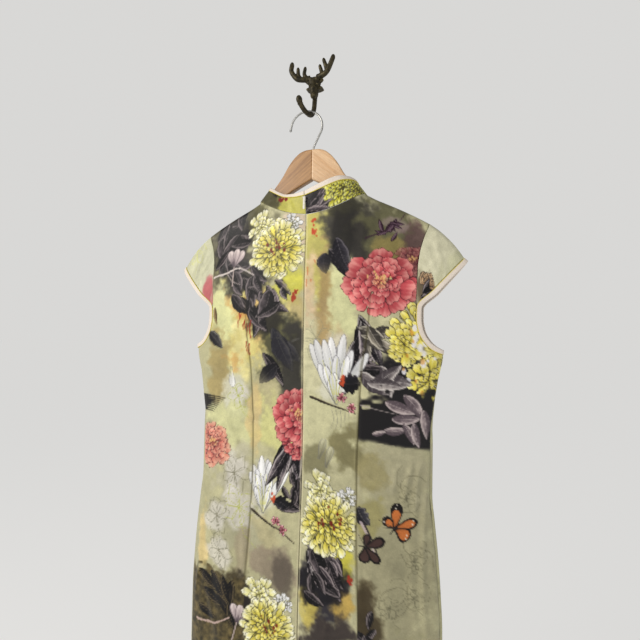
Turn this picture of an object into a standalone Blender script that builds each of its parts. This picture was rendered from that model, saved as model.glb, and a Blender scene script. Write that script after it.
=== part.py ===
"""A printed satin cheongsam with cap sleeves and a stand collar, on a wooden hanger, on a wall hook.

Metres in Blender, +Z up. The tables below are in millimetres, and MM turns them to metres.
The origin is the centre of the wall hook's back, on the wall. The wall is the plane y = 0.
The dress hangs in front of it, with its back towards -Y. The garment's own numbers are taken from
its centre line (x), from the wall (y) and from its back neck point (z), and PLACE carries them over.
"""

import math

import bmesh
import bpy
import numpy as np
from mathutils import Matrix, Vector

MM = 0.001

# Driving sizes, in millimetres
CLOTH = 1.5  # thickness of the satin with its seam allowances
SEAM = 0.3  # gap between two pieces that are sewn together
UNDERARM_GAP = 1.2  # the same at the foot of the armhole, where the binding turns the corner
CENTRE_X = 9.0  # the dress's centre line, to the right of the wall hook's
NECK_Z = -235.0  # the back neck point, below the wall hook's centre
PLACE = Vector((CENTRE_X, 0.0, NECK_Z)) * MM

HANGER_Y = -34.0  # the hanger's middle plane, from the wall
HANGER_SWEEP = 8.0  # how far the arms' ends lie nearer to the wall
HANGER_REACH = 200.0
WOOD_THICK = 12.0
WOOD_CLEAR = 2.5
FOLD_RADIUS = 9.0  # the cloth's bend over the hanger's arm

NECK_HALF = 93.0  # half width of the neckline on the hanger
NECK_RISE = 33.0  # side neck point above the back neck point
NECK_BACK = 30.0  # the back neckline stands this far out from the hanger's plane
NECK_FRONT = 25.0
FRONT_DROP = 45.0  # centre front neck point below the back neck point
COLLAR_SHARE = 0.79  # cloth share of the collar's height; the rest is binding
BINDING_THICK = 2.6
BINDING_WIDE = 8.0
SHOULDER_HALF = 193.0
HEM_Z = -950.0
SLIT_TOP_Z = -790.0
SLIT_GAP = 12.0  # how far the slit's two edges stand apart at the hem
SEAM_Y = -30.0  # the side seams, from the wall
FRONT_ROLL = [3.0, 9.5, 7.5, 0.0]  # how far out the front's last columns lie, where it rolls past the seam
FOLDS_TOP_Z = -230.0  # the soft folds lie below this level
NECK_FLAT = 40.0  # the neckline's depth is full this far from the centre line
NECK_FADE = 80.0  # and is gone this much further out
RIM_DROP = 30.0  # below its top edge the cloth takes this much to leave the edge's own depth
HANGER_DROP = 110.0  # and this much to leave the hanger's form

# Shoulder line on the hanger, outer face of the cloth
SHOULDER = [  # x, z
    (93, 33.0), (108, 24.5), (125, 16.5), (140, 9.5), (155, 2.0), (172, -7.0), (193, -19.0), (210, -29.5),
]

# Body sections: level, half width at the side seam, back's and front's depth at the centre lines
BODY = [  # z, half_width, back_y, front_y
    (0, 216, -64.0, -9.0),
    (-110, 216, -67.0, -7.0),
    (-223, 215, -66.0, -6.0),
    (-265, 207, -64.5, -7.0),
    (-300, 202, -63.0, -8.5),
    (-342, 197, -61.5, -10.0),
    (-435, 197, -62.0, -9.5),
    (-475, 201, -64.0, -8.0),
    (-530, 207, -67.0, -7.0),
    (-582, 211, -69.0, -6.0),
    (-642, 214, -70.0, -6.0),
    (-735, 214, -70.0, -6.5),
    (-860, 209, -68.0, -7.5),
    (-950, 203, -66.0, -9.0),
]

# Back darts: one on each side, a long fisheye from the shoulder blade to the seat
DART = [  # z, x, depth of the crease
    (24, 113, 0.0),
    (-110, 109, 0.0),
    (-190, 104, 0.8),
    (-250, 95, 1.3),
    (-320, 91, 1.5),
    (-400, 89, 1.5),
    (-480, 90, 1.3),
    (-560, 93, 0.9),
    (-640, 96, 0.0),
    (-950, 98, 0.0),
]
DART_HALF = 5.0

# Soft folds of the hanging cloth. depth is positive where the fold stands out.
BACK_FOLDS = [  # x, x_low, z_top, z_low, half_width, depth
    (132, 140, -395, -930, 24, 3.4),
    (172, 168, -470, -900, 15, -2.6),
    (-128, -142, -430, -940, 26, 3.0),
    (-168, -160, -500, -900, 15, -2.4),
    (40, 52, -560, -945, 24, 2.6),
    (-46, -38, -600, -945, 24, 2.4),
    (-150, -70, -300, -345, 11, -1.8),
    (140, 60, -170, -330, 15, -1.6),
]
FRONT_FOLDS = [  # x, x_low, z_top, z_low, half_width, depth
    (120, 132, -400, -935, 26, 2.6),
    (-118, -130, -380, -935, 26, 2.6),
    (30, 24, -470, -945, 28, -2.2),
    (-40, -52, -520, -945, 26, 2.2),
    (160, 90, -225, -330, 16, -1.8),
    (-160, -90, -225, -330, 16, -1.8),
]

# The armhole's edge on the body, from the shoulder tip down to where the sleeve ends
ARMHOLE = [  # x, z
    (193.0, -19.0), (192.6, -21.8), (190.2, -28.5), (184.5, -44.0), (179.5, -66.0), (177.0, -93.0),
    (176.4, -122.0), (176.0, -150.0),
]
# The bound edge under the arm: its outer edge, and the way in across the binding
UNDERARM = [  # x, z, in_x, in_z
    (184.0, -167.0, -1.0, 0.0),
    (187.0, -185.0, -0.96, -0.28),
    (195.5, -200.5, -0.80, -0.60),
    (206.0, -210.0, -0.55, -0.83),
    (216.0, -215.0, -0.13, -0.99),
]
CORNER = (184.0, -152.5, -0.93, 0.36)  # where the sleeve's hem meets the armhole, as in UNDERARM
CORNER_INSET = 4.0  # the corner's depth is read this far in on the body
UNDERARM_HALF = 2.2  # half depth of the binding where it turns under the arm
SLEEVE_HEM = [  # x, z, and how full the opening is there
    (206.0, -129.5, 0.93),
    (226.0, -107.5, 0.72),
    (241.0, -91.0, 0.42),
    (248.0, -83.0, 0.17),
]
SLEEVE_TIP = (250.5, -79.5)
SLEEVE_IN = (-0.72, 0.69)  # the way in across the sleeve's binding
SLEEVE_DROOP_Y = -29.0  # the fold of the sleeve at its tip, from the wall
SLEEVE_SHORT = 8.0  # the sleeve stops this far short of the corner, which the binding covers
SLEEVE_ROWS = [  # share of the way from the seam to the hem, and how far the cap is lifted there
    (0.0, 0.0), (0.28, 3.2), (0.55, 4.0), (0.8, 2.4), (1.0, 0.0),
]
SLEEVE_CREST = 0.5  # the lift's spread, as a share of half the seam
HEM_SPREAD = 0.06  # the opening is this much fuller at the binding's inner edge

# Stand collar: how its top edge stands over each station of the neckline
STATIONS = [0.3, 21.0, 43.0, 62.0, 78.0, 90.0, 93.0]  # x on the neckline, back and front
COLLAR_TOP_BACK_RIGHT = [  # x, y, z
    (-3.4, -64.0, 39.0), (18.5, -67.5, 46.5), (38.5, -70.0, 53.0), (53.5, -66.5, 58.0), (65.0, -57.0, 59.5),
    (73.0, -45.0, 58.5), (75.5, -34.0, 57.0),
]
COLLAR_TOP_BACK_LEFT = [  # x, y, z
    (-4.4, -64.0, 39.0), (-22.0, -60.0, 37.0), (-40.0, -53.0, 38.5), (-53.5, -49.0, 44.0),
    (-65.0, -46.5, 50.5), (-73.0, -42.0, 55.0), (-75.5, -34.0, 57.0),
]
COLLAR_TOP_FRONT = [  # x, y, z, from the centre front to the side
    (4.5, -15.5, -15.0), (20.0, -15.8, -6.0), (38.0, -16.5, 5.0), (53.0, -18.0, 20.0), (65.0, -19.5, 38.0),
    (73.0, -24.5, 52.0),
]

# Hanger: top and lower edge of the wood
WOOD_TOP = [  # x, z
    (0, 116.0), (10, 115.6), (20, 113.0), (30, 106.0), (38, 97.5), (45, 87.5), (52, 75.5), (60, 64.5),
    (66, 57.0), (75, 45.0), (84, 35.0), (93, 28.0),
]
WOOD_LOW = [  # x, z
    (0, 65.0), (18, 56.0), (35, 47.0), (60, 31.0), (93, 8.0), (125, -8.0), (160, -26.0), (186, -39.0),
    (190, -38.0), (192, -33.0),
]
WOOD_END = [(186, -18.0), (190, -22.0), (192, -27.0)]  # x, z of the top where the arm is rounded off
WOOD_TAPER = [(186, 1.0), (190, 0.9), (192, 0.6)]  # x, share of the thickness there
WOOD_STATIONS = [0, 8, 16, 24, 31, 38, 45, 52, 60, 68, 77, 86, 95, 108, 122, 138, 154, 170, 186, 190, 192]
WOOD_ROUND = 3.6  # height of the rounded edge, and how much of it the thickness gives up
WOOD_ROUND_SHARE = 0.75
WIRE_RADIUS = 1.7
WIRE_ARC = 28.0  # radius of the hook's bow, at the wire's middle
WIRE_ARC_X = -13.0
WIRE_ARC_Z = 156.0
WIRE_SWEEP = (-14.0, 186.0)  # degrees of the bow
WIRE_NECK = [(0.0, 117.0), (0.3, 126.0), (4.0, 136.0), (10.2, 144.0)]  # x, z from the wood up to the bow
WIRE_TIP = (-1.2, -4.0)  # the last stretch, from the bow's end
WIRE_SOCKET = 16.0  # how deep the wire goes into the wood

# Wall hook, from the centre of its back
PLATE_HALF = (15.0, 24.0)
PLATE_THICK = 4.0
J_RADIUS = 4.2
J_ROUTE = [  # x, y, z
    (1.0, -9.0, -14.0), (1.0, -12.0, -26.0), (0.5, -14.5, -38.0), (0.0, -19.0, -50.0), (-0.6, -26.5, -56.8),
    (-1.2, -34.0, -58.4), (-2.4, -42.5, -55.8), (-4.0, -50.0, -48.0), (-5.6, -55.0, -40.0),
    (-7.0, -58.0, -33.0),
]
BROW = ((0, -9, 9), (12.5, 8.6, 14))  # centre, radii
MUZZLE = ((0.6, -13, -9), (7.5, 10, 13.5))
EAR = ((13.5, -10, 12.5), (6.0, 3.6, 3.4))
KNOB = ((-7.5, -58.6, -29.0), (5.8, 5.8, 9.0))
ANTLER = [  # radius at the root, radius at the tip, then the route's points
    (4.0, 3.0, [(7, -10, 16), (17, -13, 15), (28, -14, 20), (36, -15, 30), (41, -15, 44)]),
    (3.0, 1.7, [(38, -15, 33), (45, -15, 38), (48, -15, 47)]),
    (3.0, 1.7, [(26, -14, 18), (30, -14, 30), (28, -14, 42)]),
    (2.9, 1.7, [(15, -13, 15), (18, -13, 27), (14, -13, 38)]),
]
ANTLER_ROLL = math.radians(5)  # the hook is screwed on a little askew

# Zip: tape inside the centre back, slider and pull tab outside the collar
TAPE_HALF = 8.0
TAPE_THICK = 0.8
TAPE_LOW_Z = -490.0
TAPE_TOP_Z = -20.0
TAPE_ROWS = 18
SLIDER_SIZE = (4.6, 2.2, 8.0)
SLIDER_AT = (-2.5, -65.5, 25.0)
SLIDER_EAR = (0.8, 2.6, 2.6)  # thickness, reach and height of the two ears that hold the pull
EAR_ROOT = 0.3  # how deep an ear starts inside the slider
PULL_SIZE = (3.2, 1.0, 20.0)
PULL_NECK = 3.2  # length of the pull's narrow top
PULL_TIP = 1.6  # length of its tapered end
PIN_RADIUS = 0.8
PIN_AT = (-2.5, -68.3, 27.0)  # where the pull hangs in the slider's ears

SIDES = ((1, "right"), (-1, "left"))
SHARP_ANGLE = math.radians(50)


def clear_scene():
    for item in list(bpy.data.objects):
        bpy.data.objects.remove(item)


def new_collection(name):
    made = bpy.data.collections.new(name)
    bpy.context.scene.collection.children.link(made)
    return made


def material(name, hex_colour, roughness, metallic=0.0):
    made = bpy.data.materials.new(name)
    made.use_nodes = True
    shader = made.node_tree.nodes["Principled BSDF"]
    rgb = [int(hex_colour[i : i + 2], 16) / 255 for i in (0, 2, 4)]
    linear = [c / 12.92 if c <= 0.04045 else ((c + 0.055) / 1.055) ** 2.4 for c in rgb]
    shader.inputs["Base Color"].default_value = (*linear, 1)
    shader.inputs["Roughness"].default_value = roughness
    shader.inputs["Metallic"].default_value = metallic
    made.diffuse_color = (*linear, 1)
    return made


def add_object(name, mesh, collection, mat=None, at=PLACE):
    made = bpy.data.objects.new(name, mesh)
    collection.objects.link(made)
    made.location = at
    if mat:
        made.data.materials.clear()
        made.data.materials.append(mat)
    return made


def table_value(rows, z, column):
    """Smooth value of a column at level z, for rows sorted from the top down."""
    levels = np.array([-r[0] for r in rows], float)
    values = np.array([r[column] for r in rows], float)
    return smooth(levels, values, -z)


def smooth(at, values, t):
    """Cubic curve through a table, with no overshoot past its rows."""
    t = float(np.clip(t, at[0], at[-1]))
    i = int(np.clip(np.searchsorted(at, t) - 1, 0, len(at) - 2))
    step = np.diff(at)
    rise = np.diff(values) / step

    def slope(k):
        if k in (0, len(at) - 1):
            return rise[0] if k == 0 else rise[-1]
        before, after = rise[k - 1], rise[k]
        return 0.0 if before * after <= 0 else 2 * before * after / (before + after)

    s = (t - at[i]) / step[i]
    a, b = slope(i) * step[i], slope(i + 1) * step[i]
    return float(
        values[i] * (1 + 2 * s) * (1 - s) ** 2
        + a * s * (1 - s) ** 2
        + values[i + 1] * s * s * (3 - 2 * s)
        - b * s * s * (1 - s)
    )


def by_x(rows, x):
    """Smooth height of an outline at x."""
    return smooth(np.array([r[0] for r in rows], float), np.array([r[1] for r in rows], float), x)


def ease(t):
    t = min(max(t, 0.0), 1.0)
    return t * t * (3 - 2 * t)


def hanger_y(x):
    return HANGER_Y + HANGER_SWEEP * (x / HANGER_REACH) ** 2


def oval(x, power=3.0):
    """Share of the neckline's depth at x, 1 at the centre and 0 at the side neck point."""
    return max(0.0, 1 - (abs(x) / NECK_HALF) ** power) ** (1 / power)


def back_top_z(x):
    x = abs(x)
    return NECK_RISE * (x / NECK_HALF) ** 1.7 if x < NECK_HALF else by_x(SHOULDER, x)


def front_top_z(x):
    x = abs(x)
    if x >= NECK_HALF:
        return by_x(SHOULDER, x)
    return -FRONT_DROP + (NECK_RISE + FRONT_DROP) * (x / NECK_HALF) ** 2.6


def round_over(drop):
    """How far the cloth has come out from the hanger's plane, a drop below the shoulder line."""
    inside = 1 - min(max(drop, 0.0), FOLD_RADIUS) / FOLD_RADIUS
    return FOLD_RADIUS * math.sqrt(max(0.0, 1 - inside * inside))


def fold_push(folds, x, z):
    """Sum of the soft folds at a point, positive where the cloth stands out."""
    total = 0.0
    for fold_x, low_x, top, low, half, depth in folds:
        run = (top - z) / (top - low)
        if 0 < run < 1:
            middle = fold_x + (low_x - fold_x) * run
            fade = ease(min(run / 0.3, 1.0)) * (ease((1 - run) / 0.15) if low > HEM_Z + 25 else 1.0)
            total += depth * fade * math.exp(-(((x - middle) / half) ** 2))
    return total


def body_y(x, z, is_back, side=1):
    """Outer face of the cloth, from the wall, at a distance x from the centre line on one side."""
    width = table_value(BODY, z, 1)
    centre = table_value(BODY, z, 2 if is_back else 3)
    share = max(0.0, 1 - (min(abs(x), width) / width) ** 2.3) ** 0.62
    full = SEAM_Y + (centre - SEAM_Y) * share
    if z < FOLDS_TOP_Z and share > 0:
        push = fold_push(BACK_FOLDS if is_back else FRONT_FOLDS, x * side, z) * min(1.0, 1.6 * share)
        full += -push if is_back else push
    top = back_top_z(x) if is_back else front_top_z(x)
    drop = max(0.0, top - z)
    depth = NECK_BACK if is_back else NECK_FRONT
    fold = round_over(drop)
    edge = max(depth * oval(x), fold) if abs(x) < NECK_HALF else fold
    spread = fold + (depth - FOLD_RADIUS) * (1 - ease((abs(x) - NECK_FLAT) / NECK_FADE))
    off = edge + (spread - edge) * ease(drop / RIM_DROP)
    near = hanger_y(x) + (-off if is_back else off)
    return near + (full - near) * ease(drop / HANGER_DROP)


def unit(v):
    return v / max(np.linalg.norm(v), 1e-9)


def inward_normals(points, flip, across):
    """Unit vectors into the wall at each grid point. across maps an edge to the way over its seam."""
    p = np.array(points, float)
    along = np.gradient(p, axis=1)
    down = np.gradient(p, axis=0)
    normal = np.cross(along, down) * (-1 if flip else 1)
    normal /= np.linalg.norm(normal, axis=2, keepdims=True)
    for edge, way in across.items():
        line = {"left": np.s_[:, 0], "right": np.s_[:, -1], "top": np.s_[0, :], "low": np.s_[-1, :]}[edge]
        ways = np.broadcast_to(np.array(way, float), normal[line].shape)
        flat = normal[line] - (normal[line] * ways).sum(1, keepdims=True) * ways
        normal[line] = flat / np.linalg.norm(flat, axis=1, keepdims=True)
    return normal


def wall(name, outer, inner, collection, mat):
    """A sheet of grid points and its copy further in, joined round the edge: one closed wall."""
    outer, inner = np.array(outer, float) * MM, np.array(inner, float) * MM
    rows, cols = outer.shape[:2]
    bm = bmesh.new()
    bmesh.ops.create_grid(bm, x_segments=cols - 1, y_segments=rows - 1, size=1)
    bm.verts.ensure_lookup_table()
    tag = bm.verts.layers.int.new("place")
    order = sorted(bm.verts, key=lambda v: (-round(v.co.y, 5), round(v.co.x, 5)))
    for number, vert in enumerate(order):
        vert[tag] = number
        vert.co = outer[divmod(number, cols)]
    made = bmesh.ops.extrude_face_region(bm, geom=bm.faces[:], use_keep_orig=True)
    for vert in made["geom"]:
        if isinstance(vert, bmesh.types.BMVert):
            vert.co = inner[divmod(vert[tag], cols)]
    face_out(bm)
    mesh = bpy.data.meshes.new(name)
    bm.to_mesh(mesh)
    bm.free()
    mesh.shade_smooth()
    mesh.set_sharp_from_angle(angle=SHARP_ANGLE)
    return add_object(name, mesh, collection, mat)


def face_out(bm):
    """Turns every face of a closed mesh outwards."""
    bmesh.ops.recalc_face_normals(bm, faces=bm.faces[:])
    if bm.calc_volume(signed=True) < 0:
        bmesh.ops.reverse_faces(bm, faces=bm.faces[:])


def mirror_x(points):
    return np.array(points, float) * np.array([-1.0, 1.0, 1.0])


def edge_rows():
    """Right edge of a body panel above the side seam: x, z and the way across its seam."""
    rows = [(x, z, 1.0, 0.0) for x, z in ARMHOLE[:-1]]
    rows.append((*ARMHOLE[-1], *CORNER[2:]))
    for x, z, in_x, in_z in UNDERARM:
        rows.append((x + BINDING_WIDE * in_x, z + BINDING_WIDE * in_z, in_x, in_z))
    return rows


ROW_STEP = 36.0
LIFT_DROP = 190.0  # the top edge's own curve fades out of the rows over this drop
CENTRE_ROWS = [  # heights on the centre line down to the underarm, one for each row of the panel's edge
    0.0, -3.0, -10.0, -28.0, -50.0, -78.0, -110.0, -146.0, -167.0, -187.0, -203.0, -214.0, -223.0,
]


def level_rows():
    count = round((CENTRE_ROWS[-1] - HEM_Z) / ROW_STEP)
    return [CENTRE_ROWS[-1] + (HEM_Z - CENTRE_ROWS[-1]) * i / count for i in range(1, count + 1)]


BACK_TOP_X = STATIONS + [106.0, 111.0, 116.0, 132.0, 148.0, 164.0, 178.0, 188.0, 193.0]
BACK_INNER = [0.0, 0.17, 0.34, 0.50, 0.64, 0.76, 0.86]  # share of the way from the centre to the dart
BACK_OUTER = [0.25, 0.5, 0.72, 0.88, 0.965, 1.0]  # share of the way from the dart to the side
FRONT_TOP_X = STATIONS + [112.0, 138.0, 164.0, 184.0, 193.0]
FRONT_SHARE = [0.0, 0.12, 0.24, 0.36, 0.47, 0.57, 0.67, 0.77, 0.86, 0.93, 0.98, 1.0]


def back_columns(z, edge_x):
    dart = table_value(DART, z, 1)
    inner = [STATIONS[0]] + [dart * f for f in BACK_INNER[1:]]
    outer = [dart + DART_HALF + (edge_x - dart - DART_HALF) * g for g in BACK_OUTER]
    return inner + [dart - DART_HALF, dart, dart + DART_HALF] + outer


def front_columns(z, edge_x):
    return [STATIONS[0] * (i == 0) + edge_x * f for i, f in enumerate(FRONT_SHARE)]


def panel_points(is_back, side):
    """Outer grid of half a body panel, from the top down and from the centre out, as if on the right."""
    top_x = BACK_TOP_X if is_back else FRONT_TOP_X
    top_z = back_top_z if is_back else front_top_z
    columns = back_columns if is_back else front_columns
    edges = edge_rows()
    low_rows = level_rows()
    gap_side = -1 if is_back else 1
    centre_top = top_z(0.0)
    grid = []
    for r in range(len(edges) + len(low_rows)):
        if r < len(edges):
            edge_x, edge_z = edges[r][:2]
            centre_z = centre_top + (CENTRE_ROWS[-1] - centre_top) * CENTRE_ROWS[r] / CENTRE_ROWS[-1]
        else:
            edge_z = centre_z = low_rows[r - len(edges)]
            edge_x = table_value(BODY, edge_z, 1)
        fade = max(0.0, 1 - (centre_top - centre_z) / LIFT_DROP) ** 2 if r < len(edges) else 0.0
        body_x = columns(centre_z, edge_x)
        line = []
        for k, first_x in enumerate(top_x):
            share = first_x / SHOULDER_HALF
            lift = top_z(first_x) - (centre_top + (edges[0][1] - centre_top) * share)
            mix = ease(-CENTRE_ROWS[r] / HANGER_DROP) if r < len(edges) else 1.0
            x = (first_x * edge_x / SHOULDER_HALF) * (1 - mix) + body_x[k] * mix
            if k == 0:
                x = STATIONS[0]
            if k == len(top_x) - 1:
                x = edge_x
            across = share * (1 - mix) + x / edge_x * mix
            z = centre_z + (edge_z - centre_z) * across + lift * fade * (k < len(top_x) - 1)
            if r == 0:
                z = top_z(first_x)
            y = body_y(x, z, is_back, side)
            if is_back and k == len(STATIONS) + 1:
                y += table_value(DART, z, 2)
            if k == len(top_x) - 1 and r >= len(edges) - 1:
                slit = ease((SLIT_TOP_Z - z) / (SLIT_TOP_Z - HEM_Z)) * SLIT_GAP / 2
                y = SEAM_Y + gap_side * (SEAM / 2 + slit)
            if r == 0 and x >= NECK_HALF:
                y = hanger_y(x) + gap_side * SEAM / 2
            line.append((x, y, z))
        grid.append(line)
    grid = np.array(grid)
    if not is_back:
        first = len(edges) - 1
        for r in range(first, len(grid)):
            grid[r, -len(FRONT_ROLL) :, 0] += np.array(FRONT_ROLL) * ease((r - first) / 4)
    return grid


def edge_ways(rows):
    """The way across the seam for each row of a panel's right edge."""
    edges = edge_rows()
    ways = [(e[2], 0.0, e[3]) for e in edges[:-1]]
    return ways + [(0.0, 1.0, 0.0)] * (rows - len(ways))


def panel_inner(grid, is_back):
    """The same grid on the cloth's inner face."""
    across = {"left": (1.0, 0.0, 0.0), "right": edge_ways(len(grid))}
    normal = inward_normals(grid, not is_back, across)
    corner = len(STATIONS) - 1
    for k in range(corner):
        normal[0, k] = unit(normal[0, k] * np.array([1.0, 1.0, 0.0]))
    normal[0, corner] = unit(np.array([-1.0, 0.0, -1.0]))
    normal[0, corner + 1 :] = np.array([0.0, 0.0, -1.0])
    return grid + normal * CLOTH


def half_panel(is_back, side):
    outer = panel_points(is_back, side)
    return outer, panel_inner(outer, is_back)


def whole_width(left, right):
    """Both halves of the front as one grid, with one column on the centre line."""
    middle = right[:, :1] * np.array([0.0, 1.0, 1.0])
    return np.concatenate([mirror_x(left)[:, :0:-1], middle, right[:, 1:]], axis=1)


def build_body(collection, mats):
    back, back_in = half_panel(True, 1)
    wall("back_right", back, back_in, collection, mats["satin"])
    left, left_in = half_panel(True, -1)
    wall("back_left", mirror_x(left), mirror_x(left_in), collection, mats["satin"])
    front, front_in = half_panel(False, 1)
    left, left_in = half_panel(False, -1)
    wall("front", whole_width(left, front), whole_width(left_in, front_in), collection, mats["satin"])
    return back, back_in, front, front_in


def collar_lines(back, back_in, front, front_in, side):
    """Base and top lines of one half of the collar, outer and inner, from the centre back to the front."""
    count = len(STATIONS)
    base = np.concatenate([back[0, :count], front[0, count - 2 :: -1]])
    base_in = np.concatenate([back_in[0, :count], front_in[0, count - 2 :: -1]])
    base[count - 1, 1] = hanger_y(NECK_HALF)
    base_in[count - 1, 1] = hanger_y(NECK_HALF)
    base[-1, 0] = base_in[-1, 0] = 1.0
    if side < 0:
        base, base_in = mirror_x(base), mirror_x(base_in)
    top_back = COLLAR_TOP_BACK_RIGHT if side > 0 else COLLAR_TOP_BACK_LEFT
    top_front = [(side * x, y, z) for x, y, z in COLLAR_TOP_FRONT[::-1]]
    top = np.array([*top_back, *top_front], float)
    lift = np.array([0.0, 0.0, SEAM + 0.3])
    return base + lift, base_in + lift, top


def build_collar(collection, mats, body):
    for side, name in SIDES:
        base, base_in, top = collar_lines(*body, side)
        rows = [base + (top - base) * s for s in (0.0, 0.34, 0.67, 1.0)]
        full = np.array(rows)[::-1]
        normal = inward_normals(full, side > 0, {"left": (1.0, 0.0, 0.0), "right": (1.0, 0.0, 0.0)})
        normal = -normal if (normal[0, 0] @ np.array([0, 1.0, 0])) < 0 else normal
        reach = unit_rows(top - base)
        start = base_in - base
        shares = np.array([0.0, 0.4, COLLAR_SHARE])
        cloth, cloth_in = [], []
        for share in shares:
            line = base + (top - base) * share
            across = row_normals(normal, share, reach)
            step = across * CLOTH if share else start
            cloth.append(line)
            cloth_in.append(line + step)
        wall(f"collar_{name}", cloth, cloth_in, collection, mats["satin"])
        height = np.linalg.norm(top - base, axis=1, keepdims=True)
        first = COLLAR_SHARE + SEAM / height
        edge, edge_in = [], []
        for share in (first, (first + 1) / 2, np.ones_like(first)):
            line = base + (top - base) * share
            across = row_normals(normal, 0.9, reach)
            proud = (BINDING_THICK - CLOTH) / 2
            edge.append(line - across * proud)
            edge_in.append(line + across * (CLOTH + proud))
        wall(f"collar_binding_{name}", edge, edge_in, collection, mats["binding"])


def unit_rows(rows):
    return rows / np.linalg.norm(rows, axis=1, keepdims=True)


def row_normals(normal, share, reach):
    """Inward way at a share of the collar's height, square to its rise."""
    rows = normal[::-1]
    place = share * (len(rows) - 1)
    low = min(int(place), len(rows) - 2)
    mixed = rows[low] + (rows[low + 1] - rows[low]) * (place - low)
    mixed = mixed - (mixed * reach).sum(1, keepdims=True) * reach
    return unit_rows(mixed)


def opening_rows():
    """Half of the armhole's bound edge, from under the arm to the sleeve's tip.
    Each row: x, z, the way in, and how full the sleeve's opening is."""
    rows = [(x, z, in_x, in_z, None) for x, z, in_x, in_z in UNDERARM[::-1]]
    rows.append((*CORNER, None))
    return rows + [(x, z, *SLEEVE_IN, full) for x, z, full in SLEEVE_HEM]


def sleeve_hem_y(full, corner_y):
    """Depth of the sleeve's hem: between its fold and the armhole's corner."""
    return SLEEVE_DROOP_Y + (corner_y - SLEEVE_DROOP_Y) * full


def opening_lines():
    """The right armhole, up the back and down the front: the binding's two edges and the sleeve's hem."""
    outer, inner, hem = [], [], []
    for is_back in (True, False):
        rows = opening_rows() if is_back else opening_rows()[::-1]
        corner_y = body_y(CORNER[0] - CORNER_INSET, CORNER[1], is_back)
        for x, z, way_x, way_z, full in rows:
            in_x, in_z = x + way_x * BINDING_WIDE, z + way_z * BINDING_WIDE
            if (x, z) == UNDERARM[-1][:2]:
                outer_y = inner_y = SEAM_Y + (-UNDERARM_HALF if is_back else UNDERARM_HALF)
            elif full is None:
                outer_y, inner_y = body_y(x, z, is_back), body_y(in_x, in_z, is_back)
            else:
                outer_y = sleeve_hem_y(full, corner_y)
                inner_y = sleeve_hem_y(min(1.0, full + HEM_SPREAD), corner_y)
            outer.append((x, outer_y, z))
            inner.append((in_x, inner_y, in_z))
            if full is not None:
                hem.append(inner[-1])
        if is_back:
            x, z = SLEEVE_TIP
            in_x, in_z = x + SLEEVE_IN[0] * BINDING_WIDE, z + SLEEVE_IN[1] * BINDING_WIDE
            outer.append((x, SLEEVE_DROOP_Y, z))
            inner.append((in_x, SLEEVE_DROOP_Y, in_z))
            hem.append(inner[-1])
    corner = len(UNDERARM)
    hem = [inner[corner], *hem, inner[-corner - 1]]
    return np.array(outer), np.array(inner), np.array(hem)


def build_armhole_bindings(collection, mats, outer, inner):
    way = unit_rows((inner - outer) * [1.0, 0.0, 1.0])
    gap = np.full((len(inner), 1), SEAM)
    gap[[0, -1]] = UNDERARM_GAP
    end = inner - way * gap
    along = np.roll(inner, -1, axis=0) - np.roll(inner, 1, axis=0)
    into = unit_rows(np.cross(way, along))
    first_on_back = into[: len(UNDERARM), 1]
    into = into if first_on_back.sum() > 0 else -into
    proud = (BINDING_THICK - CLOTH) / 2
    face = np.array([outer, (outer + end) / 2, end]) - into * proud
    rings = np.concatenate([face, (face + into * BINDING_THICK)[::-1]]).transpose(1, 0, 2)
    for side, name in SIDES:
        turned = rings if side > 0 else mirror_x(rings)
        loft(f"armhole_binding_{name}", turned, collection, mats["binding"], closed=True)


def armhole_seam(back, front):
    """The sleeve's seam line: up the back of the armhole, over the shoulder and down the front."""
    count = len(ARMHOLE)
    seam = np.concatenate([back[:count, -1][::-1][:-1], front[:count, -1]])
    seam[count - 1, 1] = hanger_y(SHOULDER_HALF)
    seam += np.array([SEAM + 0.1, 0.0, 0.0])
    seam[[0, -1], 2] += SLEEVE_SHORT
    return seam


def build_sleeves(collection, mats, body, hem_line):
    back, back_in, front, front_in = body
    seam, seam_in = armhole_seam(back, front), armhole_seam(back_in, front_in)
    clear = 1.5 * SEAM * np.array([SLEEVE_IN[0], 0.0, SLEEVE_IN[1]])
    hem = resample(hem_line, run_shares(seam)) + clear
    hem[[0, -1]] += 5 * SEAM * np.array([1.0, 0.0, 1.0])
    spread = np.array([seam + (hem - seam) * share for share, lift in SLEEVE_ROWS])
    normal = inward_normals(spread, False, {"top": (1.0, 0.0, 0.0)})
    centre = np.array([SHOULDER_HALF - 20, SLEEVE_DROOP_Y, -110.0])
    if ((centre - spread) * normal).sum() < 0:
        normal = -normal
    crest = np.exp(-((np.linspace(-1, 1, len(seam)) / SLEEVE_CREST) ** 2))
    lifts = np.array([lift for share, lift in SLEEVE_ROWS])
    spread = spread - normal * (lifts[:, None] * crest[None, :])[..., None]
    thick = spread + normal * CLOTH
    thick[0] = seam_in
    for side, name in SIDES:
        faces = (spread, thick) if side > 0 else (mirror_x(spread), mirror_x(thick))
        wall(f"sleeve_{name}", *faces, collection, mats["satin"])


def run_shares(line):
    """How far along a line each of its points lies, from 0 to 1."""
    steps = np.linalg.norm(np.diff(line, axis=0), axis=1)
    run = np.concatenate([[0], np.cumsum(steps)])
    return run / run[-1]


def resample(line, shares):
    run = run_shares(line)
    return np.stack([np.interp(shares, run, line[:, i]) for i in range(3)], axis=1)


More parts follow.
